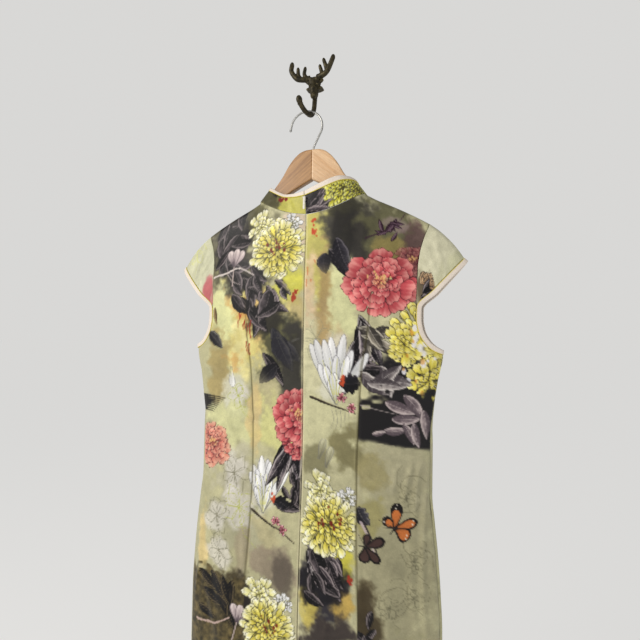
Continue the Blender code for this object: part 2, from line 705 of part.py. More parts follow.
def build_zip(collection, mats):
    rows, rows_in = [], []
    for z in np.linspace(TAPE_TOP_Z, TAPE_LOW_Z, TAPE_ROWS):
        y = body_y(0.0, z, True) + CLOTH + SEAM
        rows.append([(x, y, z) for x in (-TAPE_HALF, 0.0, TAPE_HALF)])
        rows_in.append([(x, y + TAPE_THICK, z) for x in (-TAPE_HALF, 0.0, TAPE_HALF)])
    wall("zip_tape", rows, rows_in, collection, mats["zip"])

    slider = box("zip_slider", SLIDER_AT, SLIDER_SIZE, collection, mats["zip"])
    ear_thick, ear_reach, ear_high = SLIDER_EAR
    ear_y = SLIDER_AT[1] - SLIDER_SIZE[1] / 2 - ear_reach / 2 + EAR_ROOT
    for side, name in SIDES:
        ear_x = PIN_AT[0] + side * (SLIDER_SIZE[0] - ear_thick) / 2
        ear_size = (ear_thick, ear_reach + 2 * EAR_ROOT, ear_high)
        ear = box(f"ear_{name}", (ear_x, ear_y, PIN_AT[2]), ear_size, collection, mats["zip"])
        unite(slider, ear)
    pull_at = (PIN_AT[0], PIN_AT[1], PIN_AT[2] - PULL_SIZE[2] / 2)
    pull = box("zip_pull", pull_at, PULL_SIZE, collection, mats["zip"])
    trim_pull(pull, SLIDER_SIZE[0] - 2 * ear_thick - 2 * SEAM)


def trim_pull(pull, neck):
    """Narrows the pull's top to fit between the slider's ears and puts its origin on the hinge."""
    bm = bmesh.new()
    bm.from_mesh(pull.data)
    half, slack = PULL_SIZE[2] / 2 * MM, 0.2 * MM
    neck_low = half - PULL_NECK * MM
    for height in (neck_low, PULL_TIP * MM - half):
        everything = bm.verts[:] + bm.edges[:] + bm.faces[:]
        bmesh.ops.bisect_plane(bm, geom=everything, plane_co=(0, 0, height), plane_no=(0, 0, 1))
    for vert in bm.verts:
        if vert.co.z > neck_low - slack:
            vert.co.x = math.copysign(neck / 2 * MM, vert.co.x)
        if vert.co.z < slack - half:
            vert.co.x *= 0.5
        vert.co.z -= half - PIN_RADIUS * MM
    bm.to_mesh(pull.data)
    bm.free()
    pull.location = Vector(PIN_AT) * MM + PLACE


def box(name, centre, size, collection, mat):
    bm = bmesh.new()
    bmesh.ops.create_cube(bm, size=1)
    bmesh.ops.scale(bm, vec=Vector(size) * MM, verts=bm.verts)
    mesh = bpy.data.meshes.new(name)
    bm.to_mesh(mesh)
    bm.free()
    return add_object(name, mesh, collection, mat, Vector(centre) * MM + PLACE)


def unite(base, other, operation="UNION"):
    """Joins other into base with an exact Boolean and removes it."""
    bpy.context.view_layer.update()
    step = base.modifiers.new("join", "BOOLEAN")
    step.operation = operation
    step.object = other
    step.solver = "EXACT"
    graph = bpy.context.evaluated_depsgraph_get()
    mesh = bpy.data.meshes.new_from_object(base.evaluated_get(graph))
    base.modifiers.clear()
    base.data = mesh
    bpy.data.objects.remove(other)


def tube(name, points, radius, collection, mat, at, radii=None, resolution=2):
    """A round rod along points, as a mesh with its ends closed."""
    curve = bpy.data.curves.new(name, "CURVE")
    curve.dimensions = "3D"
    curve.bevel_depth = radius * MM
    curve.bevel_resolution = resolution
    curve.use_fill_caps = True
    line = curve.splines.new("POLY")
    line.points.add(len(points) - 1)
    for i, (point, p) in enumerate(zip(line.points, points)):
        point.co = (*(Vector(p) * MM), 1)
        point.radius = radii[i] / radius if radii is not None else 1.0
    holder = bpy.data.objects.new(name, curve)
    collection.objects.link(holder)
    bpy.context.view_layer.update()
    graph = bpy.context.evaluated_depsgraph_get()
    mesh = bpy.data.meshes.new_from_object(holder.evaluated_get(graph))
    bpy.data.objects.remove(holder)
    bm = bmesh.new()
    bm.from_mesh(mesh)
    bmesh.ops.remove_doubles(bm, verts=bm.verts[:], dist=1e-6)
    face_out(bm)
    bm.to_mesh(mesh)
    bm.free()
    mesh.shade_smooth()
    mesh.set_sharp_from_angle(angle=SHARP_ANGLE)
    return add_object(name, mesh, collection, mat, at)


def spline_points(points, count):
    """Points on a smooth curve through a route."""
    p = np.array(points, float)
    run = np.concatenate([[0], np.cumsum(np.linalg.norm(np.diff(p, axis=0), axis=1))])
    return [[smooth(run, p[:, i], t) for i in range(3)] for t in np.linspace(0, run[-1], count)]


def wood_top_z(x):
    if x <= NECK_HALF:
        return by_x(WOOD_TOP, x)
    if x <= WOOD_END[0][0]:
        return by_x(SHOULDER, x) - CLOTH - WOOD_CLEAR
    return by_x(WOOD_END, x)


def build_hanger(collection, mats):
    rings = []
    for x in [-x for x in WOOD_STATIONS[:0:-1]] + WOOD_STATIONS:
        top, low = wood_top_z(abs(x)), by_x(WOOD_LOW, abs(x))
        thick = WOOD_THICK / 2 * by_x(WOOD_TAPER, abs(x))
        edge = min(WOOD_ROUND, (top - low) * 0.3)
        y = hanger_y(x)
        ring = []
        for side_y, side_z in ((-1, 1), (1, 1), (1, -1), (-1, -1)):
            z = top if side_z > 0 else low
            a = (x, y + side_y * (thick - edge * WOOD_ROUND_SHARE), z)
            b = (x, y + side_y * thick, z - side_z * edge)
            ring += [a, b] if side_y * side_z > 0 else [b, a]
        rings.append(ring)
    wood = loft("hanger_wood", rings, collection, mats["wood"])
    socket = WOOD_TOP[0][1] - WIRE_SOCKET
    drill_line = [(0, HANGER_Y, socket - 1), (0, HANGER_Y, WOOD_TOP[0][1] + WIRE_SOCKET)]
    unite(wood, tube("drill", drill_line, WIRE_RADIUS + SEAM, collection, None, PLACE), "DIFFERENCE")

    bow = []
    for angle in np.radians(np.linspace(*WIRE_SWEEP, 26)):
        across, up = WIRE_ARC * math.cos(angle), WIRE_ARC * math.sin(angle)
        bow.append((WIRE_ARC_X + across, HANGER_Y, WIRE_ARC_Z + up))
    neck = [(0, HANGER_Y, socket + 1)] + [(x, HANGER_Y, z) for x, z in WIRE_NECK]
    neck = spline_points([*neck, bow[0]], 10)
    tip = (bow[-1][0] + WIRE_TIP[0], HANGER_Y, bow[-1][2] + WIRE_TIP[1])
    tube("hanger_hook", [*neck, *bow[1:], tip], WIRE_RADIUS, collection, mats["wire"], PLACE)


def loft(name, rings, collection, mat, at=PLACE, closed=False):
    """A closed body through rings of equal count, capped at both ends or joined end to end."""
    bm = bmesh.new()
    loops = [[bm.verts.new(Vector(p) * MM) for p in ring] for ring in rings]
    for a, b in zip(loops, loops[1:] + loops[:1] if closed else loops[1:]):
        for i in range(len(a)):
            j = (i + 1) % len(a)
            bm.faces.new((a[i], a[j], b[j], b[i]))
    if not closed:
        bm.faces.new(loops[0])
        bm.faces.new(loops[-1])
    face_out(bm)
    mesh = bpy.data.meshes.new(name)
    bm.to_mesh(mesh)
    bm.free()
    mesh.shade_smooth()
    mesh.set_sharp_from_angle(angle=SHARP_ANGLE)
    return add_object(name, mesh, collection, mat, at)


def ball(name, centre, radii, collection, mat, detail):
    bm = bmesh.new()
    bmesh.ops.create_uvsphere(bm, u_segments=detail, v_segments=detail // 2 + 2, radius=1)
    bmesh.ops.scale(bm, vec=Vector(radii) * MM, verts=bm.verts)
    mesh = bpy.data.meshes.new(name)
    bm.to_mesh(mesh)
    bm.free()
    mesh.shade_smooth()
    return add_object(name, mesh, collection, mat, Vector(centre) * MM)


def build_wall_hook(collection, mats):
    """One casting: an oval back, a plain stag's head, two antlers and the J that carries the hanger."""
    bm = bmesh.new()
    bmesh.ops.create_cone(bm, cap_ends=True, segments=28, radius1=1, radius2=0.94, depth=1)
    bmesh.ops.rotate(bm, cent=(0, 0, 0), matrix=Matrix.Rotation(math.radians(90), 3, "X"), verts=bm.verts)
    bmesh.ops.scale(bm, vec=Vector((PLATE_HALF[0], PLATE_THICK, PLATE_HALF[1])) * MM, verts=bm.verts)
    mesh = bpy.data.meshes.new("wall_hook")
    bm.to_mesh(mesh)
    bm.free()
    hook = add_object("wall_hook", mesh, collection, mats["iron"], Vector((0, -PLATE_THICK / 2, 0)) * MM)
    unite(hook, ball("brow", *BROW, collection, mats["iron"], 12))
    unite(hook, ball("muzzle", *MUZZLE, collection, mats["iron"], 12))
    for side in (-1, 1):
        ear_at = (side * EAR[0][0], *EAR[0][1:])
        unite(hook, ball("ear", ear_at, EAR[1], collection, mats["iron"], 8))
        for root, tip, route in ANTLER:
            turned = [antler_place(side, p) for p in route]
            line = spline_points(turned, 5)
            radii = np.linspace(root, tip, len(line))
            unite(hook, tube("tine", line, root, collection, mats["iron"], (0, 0, 0), radii, 1))
    line = spline_points(J_ROUTE, 12)
    unite(hook, tube("j", line, J_RADIUS, collection, mats["iron"], (0, 0, 0)))
    unite(hook, ball("knob", *KNOB, collection, mats["iron"], 10))
    hook.data.shade_smooth()


def antler_place(side, p):
    """A point of an antler, mirrored for its side and turned with the hook's lean."""
    x, z = side * p[0], p[2]
    return (
        x * math.cos(ANTLER_ROLL) - z * math.sin(ANTLER_ROLL),
        p[1],
        x * math.sin(ANTLER_ROLL) + z * math.cos(ANTLER_ROLL),
    )


def main():
    clear_scene()
    collection = new_collection("cheongsam")
    mats = {
        "satin": material("printed_satin", "B8B07E", 0.42),
        "binding": material("cream_binding", "E6D9CB", 0.5),
        "zip": material("zip_cream", "E8E2D8", 0.4),
        "wood": material("hanger_beech", "C89C6E", 0.45),
        "wire": material("hook_steel", "9A9A9A", 0.3, 1.0),
        "iron": material("cast_iron", "3A3626", 0.6, 0.6),
    }
    body = build_body(collection, mats)
    build_collar(collection, mats, body)
    outer, inner, hem = opening_lines()
    build_armhole_bindings(collection, mats, outer, inner)
    build_sleeves(collection, mats, body, hem)
    build_zip(collection, mats)
    build_hanger(collection, mats)
    build_wall_hook(collection, mats)


main()
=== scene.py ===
"""The looks of a printed satin cheongsam on its wooden hanger and cast wall hook."""

import math

import bmesh
import bpy
import numpy as np
from mathutils import Matrix, Vector


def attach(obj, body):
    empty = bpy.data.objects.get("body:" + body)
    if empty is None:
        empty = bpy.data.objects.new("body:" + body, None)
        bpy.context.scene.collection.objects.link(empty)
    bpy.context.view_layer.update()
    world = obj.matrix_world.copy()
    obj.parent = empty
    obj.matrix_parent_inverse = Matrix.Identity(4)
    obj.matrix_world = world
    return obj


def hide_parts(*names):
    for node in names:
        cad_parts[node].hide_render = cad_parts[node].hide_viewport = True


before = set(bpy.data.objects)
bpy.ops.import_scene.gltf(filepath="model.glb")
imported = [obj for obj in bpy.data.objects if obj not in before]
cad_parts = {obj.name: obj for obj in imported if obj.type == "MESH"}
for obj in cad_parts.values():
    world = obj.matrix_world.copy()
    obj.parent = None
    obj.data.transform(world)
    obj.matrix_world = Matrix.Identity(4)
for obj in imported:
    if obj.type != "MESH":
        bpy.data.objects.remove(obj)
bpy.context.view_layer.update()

MM = 0.001
BODY = "dress_and_hanger"

# Driving sizes, in millimetres. x is from the dress's centre line, y from the wall and z from the
# back neck point; PLACE carries them to the frame, whose origin is the wall hook's back.
PLACE = np.array([9.0, 0.0, -235.0])
SATIN_THICK = 1.2
SEAM = 0.3
UNDERARM_GAP = 1.2
HANGER_Y = -34.0
HANGER_SWEEP = 8.0
HANGER_REACH = 200.0
FOLD_RADIUS = 9.0  # the cloth's bend over the hanger's arm
NECK_HALF = 93.0
NECK_RISE = 33.0
NECK_BACK = 30.0
NECK_FRONT = 25.0
FRONT_DROP = 45.0
COLLAR_SHARE = 0.79
BINDING_THICK = 2.6
BINDING_WIDE = 8.0
SHOULDER_HALF = 193.0
UNDERARM_Z = -223.0
HEM_Z = -950.0
SLIT_TOP_Z = -790.0
SLIT_GAP = 12.0
SEAM_Y = -30.0
BODY_OVAL = (2.3, 0.62)  # powers that shape the body's section between flat and round
FOLDS_BELOW_Z = -230  # the long folds start under the arms
NECK_SPREAD = (40.0, 80.0)  # from here, over this distance, the neck's depth narrows to the shoulder's
EDGE_FADE = 30.0  # how far down the top edge's own shape reaches
HANG_FADE = 110.0  # how far down the cloth follows the hanger
LIFT_FADE = 190.0  # how far down the rows still follow the neckline
SEAM_TURN = 14.0  # the cloth turns in to the side seam over this width
ROLL_FADE = 145.0  # how far below the arm the front comes to its full roll
DART_CREASE = 2.4  # half width of the dart's crease
ZIP_EDGE = (0.9, 1.7)  # depth and half width of the dip along the zip
OPENING_END = 2.2  # half the gap where an armhole's bound edge starts and ends

SHOULDER = np.array([  # x, z of the shoulder line
    (93, 33.0), (108, 24.5), (125, 16.5), (140, 9.5), (155, 2.0), (172, -7.0), (193, -19.0), (210, -29.5),
])
BODY_LEVELS = np.array([  # z, half width, back's depth, front's depth
    (0, 216, -64.0, -9.0), (-110, 216, -67.0, -7.0), (-223, 215, -66.0, -6.0), (-265, 207, -64.5, -7.0),
    (-300, 202, -63.0, -8.5), (-342, 197, -61.5, -10.0), (-435, 197, -62.0, -9.5), (-475, 201, -64.0, -8.0),
    (-530, 207, -67.0, -7.0), (-582, 211, -69.0, -6.0), (-642, 214, -70.0, -6.0), (-735, 214, -70.0, -6.5),
    (-860, 209, -68.0, -7.5), (-950, 203, -66.0, -9.0),
])
DART = np.array([  # z, x, depth of the seam's crease
    (24, 113, 0.0), (-110, 109, 0.0), (-190, 104, 0.8), (-250, 95, 1.3), (-320, 91, 1.5), (-400, 89, 1.5),
    (-480, 90, 1.3), (-560, 93, 0.9), (-640, 96, 0.0), (-950, 98, 0.0),
])
DART_HALF = 5.0
ARMHOLE = np.array([  # x, z of the body's edge, from the shoulder tip to where the sleeve ends
    (193.0, -19.0), (192.6, -21.8), (190.2, -28.5), (184.5, -44.0), (179.5, -66.0), (177.0, -93.0),
    (176.4, -122.0), (176.0, -150.0),
])
UNDERARM = np.array([  # x, z of the bound edge under the arm, and the way in across the binding
    (184.0, -167.0, -1.0, 0.0), (187.0, -185.0, -0.96, -0.28), (195.5, -200.5, -0.80, -0.60),
    (206.0, -210.0, -0.55, -0.83), (216.0, -215.0, -0.13, -0.99),
])
CORNER = (184.0, -152.5, -0.93, 0.36)  # as an underarm row, where the sleeve's hem starts
SLEEVE_HEM = np.array([  # x, z and how full the opening is
    (206.0, -129.5, 0.93), (226.0, -107.5, 0.72), (241.0, -91.0, 0.42), (248.0, -83.0, 0.17),
])
SLEEVE_TIP = (250.5, -79.5)
SLEEVE_IN = (-0.72, 0.69)
SLEEVE_DROOP_Y = -29.0
SLEEVE_MIDDLE = np.array([SHOULDER_HALF - 20, SLEEVE_DROOP_Y, -110.0])

STATIONS = np.array([0.3, 21.0, 43.0, 62.0, 78.0, 90.0, 93.0])  # x along the neckline
COLLAR_TOP_BACK_RIGHT = np.array([  # x, y, z of the collar's rim over each station
    (-3.4, -64.0, 39.0), (18.5, -67.5, 46.5), (38.5, -70.0, 53.0), (53.5, -66.5, 58.0), (65.0, -57.0, 59.5),
    (73.0, -45.0, 58.5), (75.5, -34.0, 57.0),
])
COLLAR_TOP_BACK_LEFT = np.array([
    (-4.4, -64.0, 39.0), (-22.0, -60.0, 37.0), (-40.0, -53.0, 38.5), (-53.5, -49.0, 44.0),
    (-65.0, -46.5, 50.5), (-73.0, -42.0, 55.0), (-75.5, -34.0, 57.0),
])
COLLAR_TOP_FRONT = np.array([
    (4.5, -15.5, -15.0), (20.0, -15.8, -6.0), (38.0, -16.5, 5.0), (53.0, -18.0, 20.0), (65.0, -19.5, 38.0),
    (73.0, -24.5, 52.0),
])

# Rows down the centre above the underarm, and columns out to the side, as the solids have them
CENTRE_ROWS = np.array([0.0, 3.0, 10.0, 28.0, 50.0, 78.0, 110.0, 146.0, 167.0, 187.0, 203.0, 214.0, 223.0])
LOW_ROWS = 20
BACK_TOP_X = np.append(STATIONS, [106.0, 111.0, 116.0, 132.0, 148.0, 164.0, 178.0, 188.0, 193.0])
BACK_INNER = np.array([0.0, 0.17, 0.34, 0.50, 0.64, 0.76, 0.86])
BACK_OUTER = np.array([0.25, 0.5, 0.72, 0.88, 0.965, 1.0])
FRONT_TOP_X = np.append(STATIONS, [112.0, 138.0, 164.0, 184.0, 193.0])
FRONT_SHARE = np.array([0.0, 0.12, 0.24, 0.36, 0.47, 0.57, 0.67, 0.77, 0.86, 0.93, 0.98, 1.0])
FRONT_ROLL = np.array([  # share of the half width, and how far the front rolls past the seam there
    (0.77, 0.0), (0.86, 3.0), (0.93, 9.5), (0.98, 7.5), (1.0, 0.0),
])

# Points of the fine grids, a cell of about 1.7 mm on the back and 2.2 mm on the front
BACK_COUNT = (54, 68, 580)  # columns inside and outside the neck's corner, rows
FRONT_COUNT = (46, 38, 430)
SLEEVE_COUNT = (44, 150)
COLLAR_COUNT = (20, 120)
ARMHOLE_STEPS = 190
TAPE_COUNT = (190, 9)

# Long soft folds, on the signed x of the dress seen from behind
BACK_FOLDS = [  # x, x_low, z_top, z_low, half_width, depth
    (132, 140, -395, -930, 24, 3.4), (172, 168, -470, -900, 15, -2.6), (-128, -142, -430, -940, 26, 3.0),
    (-168, -160, -500, -900, 15, -2.4), (40, 52, -560, -945, 24, 2.6), (-46, -38, -600, -945, 24, 2.4),
    (-150, -70, -300, -345, 11, -1.8), (140, 60, -170, -330, 15, -1.6),
]
FRONT_FOLDS = [
    (120, 132, -400, -935, 26, 2.6), (-118, -130, -380, -935, 26, 2.6), (30, 24, -470, -945, 28, -2.2),
    (-40, -52, -520, -945, 26, 2.2), (160, 90, -225, -330, 16, -1.8), (-160, -90, -225, -330, 16, -1.8),
]

# Small creases, as flat places on the cloth: x, z to x, z, half width, depth
BACK_CREASES = {
    1: [
        (176, -386, 160, -462, 4, 1.7), (189, -378, 180, -476, 4, 1.5), (152, -392, 146, -446, 4, 1.1),
        (97, -404, 142, -430, 3.2, 0.9), (100, -372, 130, -396, 3, 0.8), (112, -520, 152, -704, 8, 1.7),
        (203, -372, 209, -708, 4.5, 1.6), (140, -556, 152, -712, 9, 1.4), (150, -30, 186, -112, 6, 1.2),
        (208, -238, 152, -264, 6, 1.5), (200, -262, 140, -290, 7, 1.1), (178, -500, 186, -640, 6, 1.1),
        (30, -596, 74, -560, 6, 1.2), (22, -392, 70, -410, 5, 0.9), (16, -700, 60, -620, 8, 1.3),
        (120, -720, 170, -900, 10, 1.8), (70, -760, 60, -930, 12, 1.8), (190, -730, 182, -930, 9, 1.5),
    ],
    -1: [
        (-184, -480, -138, -466, 5, 1.7), (-106, -482, -62, -466, 5, 1.6), (-152, -300, -112, -398, 6, 1.3),
        (-130, -192, -118, -292, 7, 1.5), (-100, -500, -92, -606, 5, 1.7), (-62, -524, -28, -472, 5, 1.2),
        (-192, -562, -150, -500, 7, 1.4), (-208, -660, -196, -520, 5, 1.6),
        (-206, -240, -150, -268, 6, 1.5), (-140, -346, -190, -372, 5, 1.1), (-60, -312, -28, -366, 6, 1.1),
        (-186, -126, -150, -60, 6, 1.2), (-174, -610, -150, -700, 8, 1.3), (-70, -560, -34, -620, 6, 1.1),
        (-130, -730, -160, -920, 11, 1.8), (-60, -740, -76, -930, 12, 1.7),
        (-196, -720, -190, -930, 8, 1.5), (-30, -650, -24, -780, 7, 1.1),
    ],
}
PUCKERS = [  # along the zip: z, reach, rise at the far end, depth
    (-38, 20, 5, 0.5), (-76, 26, -6, 0.6), (-118, 22, 4, 0.5), (-160, 28, 7, 0.7), (-204, 22, -5, 0.6),
    (-243, 26, 6, 0.6), (-290, 24, -4, 0.7), (-334, 28, 8, 0.6), (-381, 24, -6, 0.7), (-428, 30, 5, 0.8),
    (-472, 34, 10, 0.9), (-512, 26, -8, 0.7),
]
FRONT_CREASES = [
    (-206, -238, -150, -266, 6, 1.5), (206, -236, 152, -262, 6, 1.5), (-190, -470, -130, -456, 5, 1.5),
    (188, -466, 124, -480, 5, 1.5), (-150, -300, -112, -398, 7, 1.2), (150, -290, 116, -402, 7, 1.3),
    (-60, -430, 6, -452, 6, 1.1), (20, -420, 84, -446, 6, 1.1), (-100, -520, -120, -700, 9, 1.5),
    (96, -530, 122, -706, 9, 1.6), (-20, -560, -34, -760, 11, 1.5), (44, -590, 40, -800, 12, 1.6),
    (-186, -560, -194, -720, 7, 1.4), (186, -552, 192, -710, 7, 1.4), (-140, -740, -150, -920, 12, 1.8),
    (140, -730, 156, -926, 12, 1.8), (-70, -110, -140, -60, 7, 1.1), (76, -120, 150, -56, 7, 1.1),
    (-40, -760, -52, -930, 12, 1.6), (60, -780, 74, -932, 12, 1.6),
]
SLEEVE_CREASES = [  # down from the armhole and round from the shoulder; the back is negative
    (6, -8, 60, -50, 6, 0.8), (8, 4, 66, 26, 6, 0.7), (5, -40, 40, -58, 5, 0.6), (6, 34, 48, 60, 6, 0.7),
    (14, -70, 34, -30, 4, 0.5), (14, 70, 34, 34, 4, 0.5),
]
COLLAR_CREASES = [
    (20, 2, 34, 24, 4, 0.5), (74, 4, 62, 26, 4, 0.6), (128, 2, 140, 24, 5, 0.6), (176, 4, 168, 26, 5, 0.5),
]


def ease(t):
    t = np.clip(t, 0.0, 1.0)
    return t * t * (3 - 2 * t)


def through(knots, values, at):
    """Cubic curves through rows of values, with no overshoot, read at new places along them."""
    at = np.asarray(at, float)
    flat = np.clip(at.ravel(), knots[0], knots[-1])
    column = (-1,) + (1,) * (values.ndim - 1)
    step = np.diff(knots)
    rise = np.diff(values, axis=0) / step.reshape(column)
    before, after = rise[:-1], rise[1:]
    same = before * after > 0
    inner = np.where(same, 2 * before * after / np.where(same, before + after, 1.0), 0.0)
    slope = np.concatenate([rise[:1], inner, rise[-1:]])
    i = np.clip(np.searchsorted(knots, flat) - 1, 0, len(knots) - 2)
    s = ((flat - knots[i]) / step[i]).reshape(column)
    wide = step[i].reshape(column)
    read = (
        values[i] * (1 + 2 * s) * (1 - s) ** 2
        + slope[i] * wide * s * (1 - s) ** 2
        + values[i + 1] * s * s * (3 - 2 * s)
        - slope[i + 1] * wide * s * s * (1 - s)
    )
    return read.reshape(at.shape + values.shape[1:])


def at_level(table, column, z):
    """A table's column at height z, for rows that run down."""
    return through(-table[:, 0], table[:, column], -np.asarray(z, float))


def at_x(table, x):
    """A table's second column at x, for rows that run outwards."""
    return through(table[:, 0], table[:, 1], x)


def run_of(points):
    """How far along a line each of its points lies."""
    steps = np.linalg.norm(np.diff(points, axis=0), axis=-1)
    return np.concatenate([[0.0], np.cumsum(steps)])


def spaced(points, count):
    """A smooth curve through points, read at even steps."""
    run = run_of(points)
    return through(run, points, np.linspace(0, run[-1], count))


def unit(rows):
    return rows / np.maximum(np.linalg.norm(rows, axis=-1, keepdims=True), 1e-9)


def sided(points, side):
    """Points made for the right, mirrored where the side is the left, -1."""
    return points * np.array([float(side), 1.0, 1.0])


def hanger_y(x):
    return HANGER_Y + HANGER_SWEEP * (x / HANGER_REACH) ** 2


def top_z(x, is_back):
    """Height of the panel's top edge: the neckline, then the shoulder line."""
    x = np.abs(x)
    share = np.minimum(x / NECK_HALF, 1.0)
    neck = NECK_RISE * share**1.7 if is_back else -FRONT_DROP + (NECK_RISE + FRONT_DROP) * share**2.6
    return np.where(x < NECK_HALF, neck, at_x(SHOULDER, x))


def fold_push(folds, x, z):
    """Sum of the long soft folds, positive where the cloth stands out."""
    total = np.zeros_like(x)
    for fold_x, low_x, high, low, half, depth in folds:
        run = (high - z) / (high - low)
        middle = fold_x + (low_x - fold_x) * run
        fade = ease(run / 0.3) * (ease((1 - run) / 0.15) if low > HEM_Z + 25 else 1.0)
        total += depth * fade * np.exp(-(((x - middle) / half) ** 2)) * ((run > 0) & (run < 1))
    return total


def body_y(x, z, is_back, side=1):
    """The cloth's outer face, from the wall, at a distance x from the centre line on one side."""
    x, z = np.asarray(x, float), np.asarray(z, float)
    width = at_level(BODY_LEVELS, 1, z)
    centre = at_level(BODY_LEVELS, 2 if is_back else 3, z)
    power, flatness = BODY_OVAL
    share = np.clip(1 - (np.minimum(np.abs(x), width) / width) ** power, 0, 1) ** flatness
    push = fold_push(BACK_FOLDS if is_back else FRONT_FOLDS, x * side, z) * np.minimum(1.0, 1.6 * share)
    full = SEAM_Y + (centre - SEAM_Y) * share + np.where(z < FOLDS_BELOW_Z, -push if is_back else push, 0.0)
    drop = np.maximum(0.0, top_z(x, is_back) - z)
    depth = NECK_BACK if is_back else NECK_FRONT
    inside = 1 - np.minimum(drop, FOLD_RADIUS) / FOLD_RADIUS
    fold = FOLD_RADIUS * np.sqrt(np.maximum(0.0, 1 - inside**2))
    oval = np.maximum(0.0, 1 - (np.abs(x) / NECK_HALF) ** 3) ** (1 / 3)
    edge = np.where(np.abs(x) < NECK_HALF, np.maximum(depth * oval, fold), fold)
    spread = fold + (depth - FOLD_RADIUS) * (1 - ease((np.abs(x) - NECK_SPREAD[0]) / NECK_SPREAD[1]))
    off = edge + (spread - edge) * ease(drop / EDGE_FADE)
    near = hanger_y(x) + (-off if is_back else off)
    return near + (full - near) * ease(drop / HANG_FADE)


def panel_control(is_back):
    """The solid's own rows and columns on the right half of a body panel, as x and z."""
    top_x = BACK_TOP_X if is_back else FRONT_TOP_X
    rim_z = top_z(top_x, is_back)
    bound = UNDERARM[:, :2] + BINDING_WIDE * UNDERARM[:, 2:]
    edge = np.concatenate([ARMHOLE, bound])
    low = np.linspace(UNDERARM_Z, HEM_Z, LOW_ROWS + 1)[1:]
    edge_x = np.append(edge[:, 0], at_level(BODY_LEVELS, 1, low))[:, None]
    edge_z = np.append(edge[:, 1], low)[:, None]
    centre_top = float(top_z(0.0, is_back))
    upper = CENTRE_ROWS / CENTRE_ROWS[-1]
    centre_z = np.append(centre_top + (UNDERARM_Z - centre_top) * upper, low)[:, None]
    is_upper = np.arange(len(centre_z))[:, None] < len(edge)
    fade = np.where(is_upper, np.maximum(0, 1 + (centre_z - centre_top) / LIFT_FADE) ** 2, 0.0)
    mix = np.append(ease(CENTRE_ROWS / HANG_FADE), np.ones(len(low)))[:, None]
    if is_back:
        dart = at_level(DART, 1, centre_z)
        rest = dart + DART_HALF + (edge_x - dart - DART_HALF) * BACK_OUTER
        body_x = np.concatenate([dart * BACK_INNER, dart - DART_HALF, dart, dart + DART_HALF, rest], axis=1)
    else:
        body_x = edge_x * FRONT_SHARE
    x = top_x * edge_x / SHOULDER_HALF * (1 - mix) + body_x * mix
    x[:, 0] = STATIONS[0]
    x[:, -1] = edge_x[:, 0]
    share = top_x / SHOULDER_HALF
    across = share * (1 - mix) + x / edge_x * mix
    lift = rim_z - (centre_top + (edge_z[0] - centre_top) * share)
    lift[-1] = 0.0
    z = centre_z + (edge_z - centre_z) * across + lift * fade
    z[0] = rim_z
    return np.stack([x, z], axis=2)


def panel_grid(is_back, side):
    """Fine outer grid of half a body panel, from the top down and from the centre out, and its shares."""
    control = panel_control(is_back)
    inner_count, outer_count, row_count = BACK_COUNT if is_back else FRONT_COUNT
    corner = len(STATIONS) - 1
    down = run_of(control[:, corner])
    rows = through(down, control, np.linspace(0, down[-1], row_count))
    fine = []
    for row in rows:
        inner = spaced(row[: corner + 1], inner_count)[:-1]
        fine.append(np.concatenate([inner, spaced(row[corner:], outer_count)]))
    x, z = np.moveaxis(np.array(fine), 2, 0)
    z[0] = top_z(x[0], is_back)
    y = body_y(x, z, is_back, side)
    width = at_level(BODY_LEVELS, 1, z)
    out = -1 if is_back else 1
    slit = ease((SLIT_TOP_Z - z) / (SLIT_TOP_Z - HEM_Z)) * SLIT_GAP / 2
    below = ease((UNDERARM_Z - z + 10) / 30)
    y += out * (SEAM / 2 + slit) * ease((x - width + SEAM_TURN) / SEAM_TURN) * below
    if is_back:
        dart_x = at_level(DART, 1, z)
        y += at_level(DART, 2, z) * np.exp(-(((x - dart_x) / DART_CREASE) ** 2))
        y += ZIP_EDGE[0] * np.exp(-((x / ZIP_EDGE[1]) ** 2))
    else:
        x = x + at_x(FRONT_ROLL, x / width) * ease((UNDERARM_Z - z) / ROLL_FADE)
    return np.stack([x, y, z], axis=2)


def outward(grid, way):
    """Unit normals of a grid, turned so that they point along way on the whole."""
    normal = unit(np.cross(np.gradient(grid, axis=1), np.gradient(grid, axis=0)))
    return normal if (normal * way).sum() > 0 else -normal


CREASE_DEEP = 1.45  # what the printed cloth needs for its creases to show


def crease(grid, normal, creases, flat):
    """Presses small folds into a grid. flat has each point's place on the cloth."""
    push = np.zeros(grid.shape[:2])
    for x, z, x_end, z_end, half, depth in creases:
        way = np.array([x_end - x, z_end - z])
        long = np.linalg.norm(way)
        way = way / long
        rest = flat - np.array([x, z])
        along = rest @ way / long
        bow = 0.04 * long * np.sin(np.pi * np.clip(along, 0, 1))
        across = rest @ np.array([way[1], -way[0]]) - bow
        taper = np.sin(np.pi * np.clip(along, 0, 1)) ** 0.8
        ridge, dip = (np.exp(-(((across - off * half) / half) ** 2)) for off in (0, 1.6))
        push += depth * taper * (ridge - 0.4 * dip)
    return grid + CREASE_DEEP * normal * push[..., None]


def flat_places(grid, centre_column, signed):
    """How far each point lies across the cloth from the centre line, and how high."""
    steps = np.linalg.norm(np.diff(grid[..., :2], axis=1), axis=2)
    across = np.concatenate([np.zeros((len(grid), 1)), np.cumsum(steps, axis=1)], axis=1)
    centre = slice(centre_column, centre_column + 1)
    across = across - across[:, centre] + np.abs(grid[:, centre, 0])
    return np.stack([across * signed, grid[..., 2]], axis=2)


def kept_steps(count, stride, fine_start=0):
    """Places along a fine grid's edge that the coarser inner face keeps."""
    start = list(range(0, fine_start, 2))
    rest = list(range(fine_start, count - 1, stride))
    return np.array(start + rest + [count - 1])


